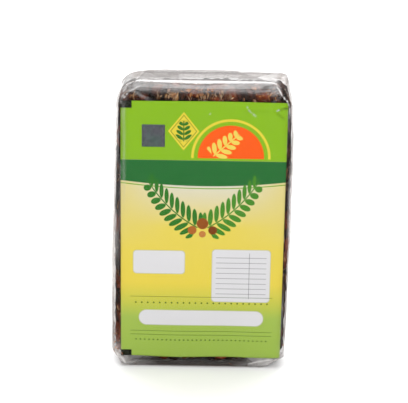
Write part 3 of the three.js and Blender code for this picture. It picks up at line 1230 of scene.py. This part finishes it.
# %% [markdown]
# A crease is given by its ends on the skin's own rows and columns, so it hugs every bend. The fans
# at the eight corners and the long upright ones at the sides are drawn at random with a fixed
# seed. A few strong ones that anyone would notice are placed one by one.

# %% Creases
rng = np.random.default_rng(23)
CREASE_PIECES = 4
CORNER_CREASES, LONG_CREASES, SIDE_CREASES, BACK_CREASES = 11, 15, 26, 26
crease_list = []


def row_at(z):
    return TUCK_ROWS + int(np.searchsorted(heights, z))


def at_skin(row, column):
    return skin[int(np.clip(round(row), 0, ROWS - 1)), int(round(column)) % COLUMNS]


def add_crease(start, end, height, half):
    """A crease between two (row, column) places on the skin."""
    start, end = np.array(start), np.array(end)
    shares = np.linspace(0, 1, CREASE_PIECES + 1)
    path = np.array([at_skin(*(start + (end - start) * share)) for share in shares])
    crease_list.append((path, height, half))


def random_crease(begin, reach, heights, halves):
    """A crease over so many rows and columns, with a random height up or down and half width."""
    height = rng.choice((-1, 1)) * rng.uniform(*heights)
    add_crease(begin, (begin[0] + reach[0], begin[1] + reach[1]), height, rng.uniform(*halves))


front_right = CORNER_POINTS + FRONT_POINTS
back_right = front_right + CORNER_POINTS + SIDE_POINTS
back_left = back_right + CORNER_POINTS + BACK_POINTS
upright_edges = [start + CORNER_POINTS // 2 for start in (0, front_right, back_right, back_left)]
for edge in upright_edges:
    for z_corner, direction in ((2.0, 1), (127.0, -1)):
        for _ in range(CORNER_CREASES):
            reach = (direction * rng.uniform(2, 34), rng.normal(0, 1) * 15)
            begin = (row_at(z_corner) + rng.normal(0, 2), edge + rng.normal(0, 1.5))
            random_crease(begin, reach, (0.06, 0.26), (0.5, 1.6))
    for _ in range(LONG_CREASES):
        begin = (row_at(rng.uniform(6, 118)), edge + rng.normal(0, 5))
        random_crease(begin, (rng.uniform(8, 50), rng.normal(0, 3)), (0.05, 0.22), (0.5, 1.4))
for first, last in ((front_right, back_right), (back_left, COLUMNS)):
    for _ in range(SIDE_CREASES):
        begin = (rng.uniform(14, ROWS - 30), rng.uniform(first + CORNER_POINTS, last))
        random_crease(begin, (rng.uniform(-26, 26), rng.normal(0, 6)), (0.05, 0.2), (0.5, 1.8))
for _ in range(BACK_CREASES):
    begin = (rng.uniform(16, ROWS - 24), rng.uniform(back_right + 10, back_left - 4))
    random_crease(begin, (rng.normal(0, 18), rng.normal(0, 10)), (0.04, 0.12), (0.6, 2.0))
print("random creases", len(crease_list))

# %% Strong creases, one by one
FULL_CREASE = 0.22  # height from which a crease counts as fully creased
STRONG_CREASES = [  # start x, z; end x, z; height; half width, mm
    (27.5, 117.2, 36.0, 119.6, 0.22, 0.9),
    (17.5, 120.5, 22.0, 114.5, 0.10, 0.7),
    (20.0, 117.0, 24.5, 112.0, 0.08, 0.7),
    (36.8, 118.6, 30.6, 128.6, 0.34, 0.8),
    (36.9, 117.5, 34.6, 126.0, -0.22, 0.9),
    (37.2, 110.0, 36.9, 120.0, 0.26, 0.8),
    (-33.8, 121.5, -29.5, 128.4, 0.30, 0.8),
    (-35.4, 119.8, -33.0, 124.8, -0.24, 0.9),
    (-34.6, 6.0, -32.4, 0.6, 0.30, 0.9),
    (-37.6, 11.0, -33.2, 1.2, -0.22, 1.0),
    (-30.0, 4.6, -18.0, 1.6, 0.12, 0.8),
    (36.2, 6.4, 28.0, 1.4, 0.28, 0.9),
    (34.0, 4.4, 20.0, 1.6, 0.16, 0.9),
    (-28.0, 126.2, 30.5, 125.4, 0.12, 1.1),
]


def front_column(x, z):
    """The column of the skin's front that is nearest to x at height z."""
    ring = skin[min(row_at(z), ROWS - 1)]
    gap = np.where(ring[:, 1] < ring[:, 1].mean(), np.abs(ring[:, 0] - x), np.inf)
    return int(np.argmin(gap))


for x0, z0, x1, z1, height, half in STRONG_CREASES:
    begin, end = ((row_at(z), front_column(x, z)) for x, z in ((x0, z0), (x1, z1)))
    add_crease(begin, end, height, half)

lift = np.zeros(ROWS * COLUMNS)
creased = np.zeros(ROWS * COLUMNS)
flat_skin = skin.reshape(-1, 3)
for path, height, half in crease_list:
    middle = path.mean(axis=0)
    reach = np.linalg.norm(path - middle, axis=1).max() + half
    near = np.flatnonzero(np.abs(flat_skin - middle).max(axis=1) < reach)
    gap, along = distance_to_path(flat_skin[near], path)
    fade = np.sin(np.pi * np.clip(along * 0.9 + 0.05, 0, 1)) ** 0.6
    tent = np.maximum(0, 1 - gap / half) * fade
    lift[near] += height * tent
    creased[near] = np.maximum(creased[near], tent * min(1, abs(height) / FULL_CREASE))
print("creases", len(crease_list), "lift, mm", lift.min().round(2), lift.max().round(2))

# %% Waves and the finished skin
x, y, z = flat_skin.T
over_label = ramp(-y, 8.6, 9.8) * ramp(z, 4.4, 5.6) * (1 - ramp(z, 120.5, 123.5))
over_label = over_label * (1 - ramp(np.abs(x - 0.5), 34.4, 36.4))
slack = 1 - over_label
wave = (lumps(flat_skin, (7, 7, 19)) - 0.75) * 0.5 * slack
ridged = 1 - np.abs(2 * lumps(flat_skin + 50, (2.4, 2.4, 17)) - 1)
wave += 0.10 * (ridged - 0.7) * slack + 0.05 * (lumps(flat_skin, (12, 12, 16)) - 0.5)
shift = np.clip(lift * (0.45 + 0.55 * slack) + wave, -0.75, 0.1)
shift *= 1 - 0.8 * (1 - ramp(z, 0.4, 2.0))
film_points = flat_skin + skin_normal.reshape(-1, 3) * shift[:, None]
film = make_piece("film_skin", film_points, grid_faces(ROWS, COLUMNS, closed=True))
print("film, mm", film_points.min(axis=0).round(2), film_points.max(axis=0).round(2))

# %% [markdown]
# Three painted values tell the film's finish what happens where. "fold" is high where the film is
# bent sharply or lies double, and takes light away there; along the middle of the front's foot it
# is painted shade. The haze is high where the film is crumpled and scatters light, and it also carries
# painted highlights: a streak down the label's left edge and a few short glints. "loose" is low where
# the film clings to what is behind it, because a sheet that touches mirrors less than one that hangs free.

# %% Fold: bends, double film and painted shade along the foot
row, column = np.divmod(np.arange(ROWS * COLUMNS), COLUMNS)
streaky = lumps(flat_skin + 25, (0.8, 0.8, 16))
rim = bell(row, ridge_row, np.where(y > 0, 3.0, 1.6)) + bell(row, TUCK_ROWS, 1.6)
rim *= np.where((y < 0) & (z > 20), np.where(x < -27, 0.6, 0.15), 1.0)
at_edge = np.maximum.reduce([bell(column, edge, 3.4) for edge in upright_edges])
at_edge *= (row > TUCK_ROWS) & (row < ridge_row)
under_flap = (row > ridge_row + 1) * ramp(y, -6, 0)
rear_corner = ramp(x, 32, 36) * ramp(z, 118, 123) * ramp(y, -2, 2)
side_wall = ramp(np.abs(x), 37.5, 38.2) * ramp(z, 4, 10)
# Painted shade: the film is darkened along the middle of the front's foot, where the view passes under the
# block's lower edge to the shaded floor.
foot_shade = (1 - ramp(z, 1.5, 2.6)) * (1 - ramp(np.abs(x + 2), 14, 25)) * (y < -5)
dimmed = [
    rim,
    at_edge * (0.30 + 0.45 * ramp(1 - streaky, 0.35, 0.75)),
    0.32 * under_flap,
    rear_corner * (0.25 + 0.5 * ramp(lumps(flat_skin + 33, (2, 2, 3)), 0.45, 0.7)),
    side_wall * (0.30 + 0.40 * ramp(lumps(flat_skin + 70, (3, 1.2, 22)), 0.4, 0.65)),
    0.95 * foot_shade * (0.75 + 0.25 * streaky),
]
fold = np.clip(np.maximum.reduce(dimmed) + 0.7 * creased**3 * slack, 0, 1)
paint_points(film, "fold", fold)
print("mean fold", round(float(fold.mean()), 3))

# %% Haze: crumpled corners, and a painted highlight streak down the label's left edge
patchy = lumps(flat_skin + 10, (3, 3, 6))
left_foot = ramp(-x, 29, 35) * (1 - ramp(z, 4, 15))
right_foot = ramp(x, 17, 31) * (1 - ramp(z, 3, 9))
foot = np.maximum(left_foot, right_foot) * slack
upright = ramp(np.abs(x), 35.2, 37.4)
ends = ramp(z, SHELL_TOP - 0.5, SHELL_TOP) + (1 - ramp(z, 0.4, 0.9))
bevel = ramp(z, SHELL_TOP - TOP_BEVEL - 0.6, SHELL_TOP - TOP_BEVEL + 0.4) * (y < 0)
facet = ramp(x, 30.5, 33.5) * ramp(z, 118, 121) * (y < 4)
above_ridge = bell(row - ridge_row, 1.8, 2.2) * (y < 0)
top_left = ramp(-x, 30, 33.5) * ramp(z, 121, 124) * (y < 2)
haze = 0.004 + 0.25 * creased**2 * slack + 0.45 * foot * (0.4 + 0.6 * patchy)
haze += (0.22 * upright + 0.32 * at_edge) * ramp(streaky, 0.5, 0.8) * (0.35 + 0.65 * patchy)
haze += 0.12 * (ends + bevel) * patchy + 0.42 * above_ridge + 0.40 * top_left * patchy
haze *= 1 - 0.92 * facet
# Painted highlight: a soft pale streak down the label's left edge, added to the haze.
painted_sheen = bell(x, -33.1, 0.62) * ramp(z, 66, 92) * (1 - ramp(z, 117, 123)) * (y < -9)
painted_sheen += 0.7 * painted_sheen * bell(x, -32.9, 0.25)
haze += 0.145 * painted_sheen * (0.6 + 0.4 * lumps(flat_skin, (3, 3, 5)))
print("mean haze", round(float(haze.mean()), 3))

# %% Painted glints, and where the film clings
PAINTED_GLINTS = [  # strength, half width, then x and z of each point of a painted glint on the front
    (0.9, 0.36, (31.0, 118.1), (31.5, 118.4)),
    (0.6, 0.24, (18.4, 119.6), (19.4, 117.6), (22.9, 115.0)),
    (0.35, 0.25, (2.6, 116.4), (3.1, 116.2)),
    (0.95, 0.28, (30.3, 128.9), (31.2, 127.0), (33.0, 124.3), (35.2, 121.9)),
    (0.5, 0.2, (35.4, 121.4), (36.2, 119.0), (36.6, 115.0)),
    (0.6, 0.30, (-33.0, 122.6), (-31.0, 125.4), (-26.0, 127.8)),
    (0.3, 0.28, (-34.4, 120.4), (-33.2, 124.0)),
    (0.45, 0.35, (22.0, 2.2), (27.0, 3.6), (31.5, 4.2)),
    (0.6, 0.35, (-35.6, 6.0), (-32.6, 2.0)),
]
# Painted highlights: short bright lines along the listed paths, added to the haze.
for strength, half, *marks_xz in PAINTED_GLINTS:
    path = np.array([(gx, 0, gz) for gx, gz in marks_xz])
    gap, _ = distance_to_path(flat_skin * (1, 0, 1), path)
    haze += strength * np.maximum(0, 1 - gap / half) * (y < -5)
paint_points(film, "haze", haze)
clings = [
    0.90 * ramp(-y, 8.7, 9.6) * (1 - ramp(z, 124, 126)) + 0.65 * ramp(y, 8.6, 9.4),
    0.90 * (1 - ramp(z, 5, 6.5)) * (y < -4) * (1 - foot),
    0.6 * ramp(np.abs(x), 37.0, 38.2) * (np.abs(y) < 8),
    0.85 * facet,
    0.3 * (row > ridge_row + 6),
]
paint_points(film, "loose", 1 - np.maximum.reduce(clings))
print("painted_glints", len(PAINTED_GLINTS))

# %% [markdown]
# ## The film's finish
#
# Clear film does three things to a ray: it lets most of it through, it mirrors some, and where it
# is creased or doubled it scatters a little as haze. A sheet mirrors more the flatter the ray
# meets it. Layer Weight's Facing output is the same from both sides of a face, which Fresnel's
# isn't, so the mirrored share is worked out from it. Film that hangs free mirrors at both of its
# faces, and film that clings mirrors at the front one alone, and less.

# %% Film finish
FACE_MIRROR = 0.04  # share that one face of a loose film mirrors, looked at squarely


def film_finish(name, extra_haze):
    finish = Finish(name)
    flatness = finish.value("ShaderNodeLayerWeight", "Facing", None, {"Blend": 0.5})
    loose = finish.attribute("loose")
    one_face = FACE_MIRROR * loose + (1 - FACE_MIRROR) * (0.2 + 0.8 * loose) * flatness**5
    mirrored = ((1 + loose) * one_face / (1 + loose * one_face)).clamp()
    scratches = finish.noise(1400, 3, 0.6, stretch=(1, 1, 0.3), warp=0.5)
    smear = finish.noise(170, 4, 0.6)
    veil = finish.attribute("haze") + extra_haze * smear.step_over(0.35, 0.7) * loose
    clear = finish.node("ShaderNodeBsdfTransparent", None, {"Color": (0.97, 0.97, 0.97, 1)})
    dim = finish.node("ShaderNodeBsdfTransparent", None, {"Color": (0.41, 0.365, 0.34, 1)})
    milky = finish.node(
        "ShaderNodeBsdfPrincipled",
        None,
        {
            "Base Color": (0.68, 0.655, 0.645, 1),
            "Roughness": 0.45,
            "Normal": finish.bump(scratches, 0.2, 0.0002),
        },
    )
    gloss = finish.node(
        "ShaderNodeBsdfAnisotropic", None, {"Color": (0.96, 0.96, 0.96, 1), "Roughness": 0.07}
    )
    edge_share = (flatness**3 * (0.35 + 0.45 * loose) + 0.75 * finish.attribute("fold")).clamp()
    body = finish.blend(veil.clamp(), finish.blend(edge_share, clear, dim), milky)
    return finish.surface(finish.blend(mirrored, body, gloss).outputs[0])


skin_finish = film_finish("clear_film", 0.05)
fold_finish = film_finish("clear_film_folded", 0.10)
film.data.materials.append(skin_finish)
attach(film, BODY)
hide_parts("film_wrap")
print("film materials", skin_finish.name, fold_finish.name)

# %% [markdown]
# ## End folds and the back seam
#
# The flaps are sheets of their own, laid over the tucked ends. Each is a grid between a front and
# a rear edge. Its side edges roll down onto the tuck, and a few creases cross it. The flap on top
# also hangs a little way down the sloped front, round the ridge. The seam at the back is a strip
# with the fine cross ribs that a heated crimping wheel leaves.

# %% Flaps with creases
FLAP_CREASES = 16
ridge = -WRAP_DEPTH / 2 + TOP_BEVEL


def creased_sheet(name, place, shape, outward, seed, loose=1.0, flip=False):
    """A flap with random creases across it, from a grid of points in mm."""
    local = np.random.default_rng(seed)
    rows, columns = shape
    x, y = place[:, 0], place[:, 1]
    s = np.tile(np.linspace(0, 1, columns), rows)
    width = np.repeat(np.ptp(place[:, 0].reshape(shape), axis=1), columns)
    edge_gap = np.minimum(s, 1 - s) * width
    end_gap = y.max() - y
    haze = 0.02 + 0.04 * lumps(place + 5, 4) + 0.20 * (1 - ramp(edge_gap, 0, 0.5))
    haze += 0.45 * bell(y - ridge, 0.9, 0.8) * (place[:, 2] > 100)
    for _ in range(FLAP_CREASES):
        begin = np.array([local.uniform(x.min(), x.max()), local.uniform(y.min(), y.max()), 0])
        turn = local.uniform(0, np.pi)
        end = begin + local.uniform(3, 15) * np.array([np.cos(turn), 0.5 * np.sin(turn), 0])
        gap, along = distance_to_path(place * (1, 1, 0), np.array([begin, end]))
        tent = np.maximum(0, 1 - gap / local.uniform(0.4, 1.0)) * np.sin(np.pi * along) ** 0.5
        place[:, 2] += outward * local.choice((-1, 1)) * local.uniform(0.03, 0.12) * tent
        haze = np.maximum(haze, 0.22 * tent)
    place[:, 2] = np.clip(place[:, 2], 0.02, WRAP_HEIGHT - 0.02)
    faces = grid_faces(rows, columns)
    piece = make_piece(name, place, [face[::-1] for face in faces] if flip else faces)
    paint_points(piece, "haze", haze)
    paint_points(piece, "loose", np.full(len(place), loose))
    lines = np.maximum(1 - ramp(edge_gap, 0.3, 0.9), 1 - ramp(end_gap, 0.3, 0.9))
    paint_points(piece, "fold", np.maximum(0.9 * lines, 0.30 * ramp(y, -6, 0)))
    piece.data.materials.append(fold_finish)
    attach(piece, BODY)
    print(name, "mm", place.min(axis=0).round(2), place.max(axis=0).round(2))


def flat_fold(front, rear, shape, roll, dips, seed):
    """Grid points of a flap between a front and a rear edge: left x, right x, y and z of each."""
    s, t = unit_grid(*shape)
    left, right, y, z = (a + (b - a) * t for a, b in zip(front, rear))
    place = as_points(left + (right - left) * s, y, z)
    edge_gap = (np.minimum(s, 1 - s) * (right - left)).ravel()
    place[:, 2] -= roll * (1 - ramp(edge_gap, 0, 1.1)) * ramp(t.ravel(), 0, 0.1)
    place[:, 2] += dips * (lumps(place + seed, (9, 6, 5)) - 0.6)
    return place


# %% The four flaps
SLOPE_ROWS, SLOPE_START = 9, 127.0
rear = WRAP_DEPTH / 2 - SEAM_PROUD - 0.4
base_edge = WRAP_DEPTH / 2 - SEAM_PROUD - SOFT_BEVEL
shape = (46, 150)
flap = flat_fold((-28.3, 30, ridge, SHELL_TOP + 0.08), (-25, 14, rear, 130.3), shape, 0.3, 0.08, 3)
flap = flap.reshape(*shape, 3)
from_left = flap[..., 0] - flap[:, :1, 0]
flap[..., 2] -= 0.5 * (1 - ramp(from_left, 0, 9)) * ramp(flap[..., 1], -5, 9)
drop_share = np.linspace(1, 0, SLOPE_ROWS, endpoint=False)[:, None]
slope = np.repeat(flap[:1], SLOPE_ROWS, axis=0)
slope[..., 0] *= 1 + 0.07 * drop_share
slope[..., 2] = SHELL_TOP - (SHELL_TOP - SLOPE_START) * drop_share
slope[..., 1] = sloped_front(slope[..., 0], slope[..., 2]) - 0.06
flap = np.concatenate([slope, flap])
soften(flap, 2, SLOPE_ROWS + 6)
creased_sheet("top_front_fold", flap.reshape(-1, 3), flap.shape[:2], 1, 3)
shape = (34, 120)
under = flat_fold((-17, 20, -1.5, 129.5), (-27, 32, rear, 130.05), shape, 0.1, 0.1, 4)
creased_sheet("top_rear_fold", under, shape, 1, 4, loose=0.5)
shape = (40, 140)
standing = flat_fold((-31, 27, -base_edge, 0.12), (-20, 17, base_edge, 0.08), shape, 0.1, -0.08, 5)
creased_sheet("base_front_fold", standing, shape, -1, 5, flip=True)
shape = (30, 110)
hidden = flat_fold((-15, 14, -2.0, 0.26), (-29, 30, base_edge, 0.3), shape, 0.1, -0.08, 6)
creased_sheet("base_rear_fold", hidden, shape, -1, 6, loose=0.5, flip=True)

# %% Back seam
SEAM_LEFT, SEAM_RIGHT, SEAM_LOW, SEAM_HIGH = 1.0, 10.0, 6.0, 124.0
SEAM_GRID = (430, 26)
RIB_HEIGHT, RIB_PITCH = 0.045, 1.25
s, t = (grid.ravel() for grid in unit_grid(*SEAM_GRID))
z = SEAM_LOW + (SEAM_HIGH - SEAM_LOW) * t
x = SEAM_LEFT + (SEAM_RIGHT - SEAM_LEFT) * s + 0.25 * (lumps(as_points(0, 0, z), 14) - 0.5)
crimp = ramp(s, 0.45, 0.55) * (1 - ramp(s, 0.92, 0.99))
y = WRAP_DEPTH / 2 - 0.1 + RIB_HEIGHT * np.sin(z * 2 * np.pi / RIB_PITCH) * crimp
y = y - 0.2 * (1 - ramp(s, 0, 0.12)) - 0.10 * lumps(as_points(x, 0, z), (6, 1, 12))
seam_points = as_points(x, y, z)
seam = make_piece("back_seam", seam_points, [face[::-1] for face in grid_faces(*SEAM_GRID)])
rough_patch = ramp(lumps(seam_points, (4, 4, 9)), 0.35, 0.75)
seam_edges = ramp(s, 0.96, 1.0) + 1 - ramp(s, 0, 0.04)
paint_points(seam, "haze", 0.02 + 0.12 * crimp * (0.3 + 0.7 * rough_patch) + 0.25 * seam_edges)
paint_points(seam, "loose", 0.35 + 0.4 * rough_patch)
paint_points(seam, "fold", seam_edges * 0.8)
seam.data.materials.append(fold_finish)
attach(seam, BODY)
print("seam, mm", seam_points.min(axis=0).round(2), seam_points.max(axis=0).round(2))

# %% [markdown]
# ## Crumbs and smears on the film
#
# Sticky crumbs of pulp cling to the inside of the film, most of all along the top and at the lower
# left corner. One uneven bead is scattered by Geometry Nodes over the film's own faces, with a
# painted density, and pressed flat against them.

# %% Crumbs
BEAD_SIDES, BEAD_BANDS = 9, 3
BEAD_WIDE, BEAD_HIGH = 0.5, 0.26


def bead_points():
    """An uneven flat bead about a millimetre across: a pole, rings of points and the other pole."""
    points = [(0, 0, BEAD_HIGH)]
    for tilt in np.linspace(0, np.pi, BEAD_BANDS + 3)[1:-1]:
        for angle in np.linspace(0, 2 * np.pi, BEAD_SIDES, endpoint=False):
            uneven = 1 + 0.22 * math.sin(2 * angle + 1) + 0.12 * math.sin(5 * angle)
            reach = BEAD_WIDE * (math.sin(tilt) * uneven)
            points.append((reach * math.cos(angle), reach * math.sin(angle), BEAD_HIGH * math.cos(tilt)))
    return [*points, (0, 0, -BEAD_HIGH)]


bead_vertices = bead_points()
end = len(bead_vertices) - 1
last_ring = end - BEAD_SIDES
bead_faces = lid_and_bands(BEAD_SIDES, BEAD_BANDS)
bead_faces += [(end, last_ring + (i + 1) % BEAD_SIDES, last_ring + i) for i in range(BEAD_SIDES)]
bead = make_piece("crumb_bead", bead_vertices, bead_faces)
print("faces of a bead", len(bead_faces))

# %% Where the crumbs cling
x, y, z = flat_skin.T


def spot(x0, z0, wide, high):
    return np.exp(-(((x - x0) / wide) ** 2) - ((z - z0) / high) ** 2)


top_specks = 0.35 * ramp(lumps(flat_skin + 44, (2.5, 4, 3)), 0.6, 0.85) * ramp(z, 123.5, 125.5)
on_top = np.maximum.reduce([spot(-3, 126.4, 6, 2.0), spot(26, 124.8, 4, 1.8), top_specks * ramp(x, -12, 0)])
anywhere = 0.018 * ramp(lumps(flat_skin + 70, 12), 0.55, 0.9)
density = (on_top * (y < -4) + 0.9 * spot(-37, 8, 2.5, 6) + anywhere) * slack
paint_points(film, "crumbs", density)
print("densest", round(float(density.max()), 2))

# %% Crumb finish and the strewn crumbs
finish = Finish("amber_crumb")
glow = finish.noise(300, 2, 0.5)
crumb_colour = finish.mix(glow.step_over(0.4, 0.62), shade(92, 44, 8), shade(172, 104, 22))
crumb_finish = finish.close(
    {
        "Base Color": crumb_colour,
        "Roughness": 0.22 + 0.2 * glow,
        "Coat Weight": 0.4 * glow,
        "Normal": finish.bump(finish.noise(1500, 2, 0.5), 0.3, 0.0002),
    }
)

recipe = Recipe("crumbs_under_film")
recipe.add_socket("Bead", "NodeSocketObject")
recipe.add_socket("Density")
where = recipe.value("GeometryNodeInputNamedAttribute", 0, {"data_type": "FLOAT"}, {"Name": "crumbs"})
wide_size = recipe.node(
    "FunctionNodeRandomValue",
    {"data_type": "FLOAT_VECTOR"},
    {0: (0.25, 0.25, 0.2), 1: (1.9, 1.2, 0.4), "Seed": 9},
).outputs[0]
density = where * Signal(recipe, recipe.given("Density"))
CRUMB_SINK = 0.00012  # metres behind the film
placed = strew(recipe, "Bead", density, CRUMB_SINK, wide_size, spread_seed=4, spin_seed=2)
recipe.close(placed, crumb_finish)
CRUMBS_PER_SQUARE_METRE = 900000.0  # where the painted density is 1
crumbs = recipe.apply(film, "pulp_crumbs", Bead=bead, Density=CRUMBS_PER_SQUARE_METRE)
drop(bead)
CRUMB_PLAY = 0.06  # how far crumbs stay behind the wrap's front, mm
pressed = np.zeros(len(crumbs.data.vertices) * 3)
crumbs.data.vertices.foreach_get("co", pressed)
pressed[1::3] = np.maximum(pressed[1::3], (CRUMB_PLAY - WRAP_DEPTH / 2) * MM)
crumbs.data.vertices.foreach_set("co", pressed)
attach(crumbs, BODY)
print("crumb faces", len(crumbs.data.polygons))

# %% [markdown]
# ## Floor, light and camera
#
# The packet stands on a pale floor in even studio light. A large soft lamp above and behind draws
# the bright line along the top fold. The others light the front, and one tall lamp the left side.

# %% Floor
FLOOR_HALF = 3.0  # metres
corners = np.array([(-1, -1, 0), (1, -1, 0), (1, 1, 0), (-1, 1, 0)])
floor = make_piece("studio_floor", corners * FLOOR_HALF / MM, [(0, 1, 2, 3)])
finish = Finish("pale_floor")
floor.data.materials.append(finish.close({"Base Color": (0.86, 0.86, 0.86, 1), "Roughness": 0.9}))
print("floor, metres across", 2 * FLOOR_HALF)

# %% Light
WORLD_LIGHT = 0.5
world = bpy.data.worlds.new("studio")
bpy.context.scene.world = world
world.use_nodes = True
background = world.node_tree.nodes["Background"].inputs
background["Color"].default_value = (1, 1, 1, 1)
background["Strength"].default_value = WORLD_LIGHT


def soft_lamp(name, place, aim, width, height, radiance):
    """A rectangular soft lamp. Its power is worked out from how bright its face should look."""
    lamp = bpy.data.lights.new(name, "AREA")
    lamp.shape = "RECTANGLE"
    lamp.size, lamp.size_y = width, height
    lamp.energy = radiance * math.pi * width * height
    holder = bpy.data.objects.new(name, lamp)
    holder.location = place
    holder.rotation_euler = (Vector(aim) - Vector(place)).to_track_quat("-Z", "Y").to_euler()
    bpy.context.scene.collection.objects.link(holder)


middle = (0, 0, 0.065)
soft_lamp("overhead_rear", (0.0, 0.52, 0.86), (0, 0.35, 0), 1.2, 0.74, 4.6)
soft_lamp("overhead_front", (0.0, -0.18, 0.80), middle, 1.0, 0.46, 1.9)
soft_lamp("left_strip", (-0.95, -0.5, 0.5), middle, 0.3, 0.9, 4.0)
soft_lamp("front_fill", (0.3, -0.9, 0.6), middle, 1.0, 0.6, 2.4)
print("lamps", len(bpy.data.lights))

# %% [markdown]
# The camera is where the photograph's must have been: the label's edges lean together downwards,
# which fixes how near it stood, and a square on the label shows how far it looked down.

# %% Camera
CAMERA_ELEVATION = 18.86
CAMERA_DISTANCE = 653.5
CAMERA_ROLL = 0.957
FOCAL_PIXELS = 1511.0
IMAGE_WIDTH = 408
CAMERA_AIM = Vector((0.99, 0.0, 74.2))
elevation, roll = math.radians(CAMERA_ELEVATION), math.radians(CAMERA_ROLL)
towards_camera = Vector((0, -math.cos(elevation), math.sin(elevation)))
camera = bpy.data.objects.new("camera", bpy.data.cameras.new("camera"))
camera.data.sensor_width = 36
camera.data.lens = FOCAL_PIXELS / IMAGE_WIDTH * camera.data.sensor_width
camera.location = (CAMERA_AIM + towards_camera * CAMERA_DISTANCE) * MM
camera.rotation_mode = "QUATERNION"
camera.rotation_quaternion = (-towards_camera).to_track_quat("-Z", "Y") @ Quaternion((0, 0, 1), roll)
bpy.context.scene.collection.objects.link(camera)
bpy.context.scene.camera = camera
bpy.context.scene.view_settings.view_transform = "Standard"
print("lens, mm", round(camera.data.lens, 1))
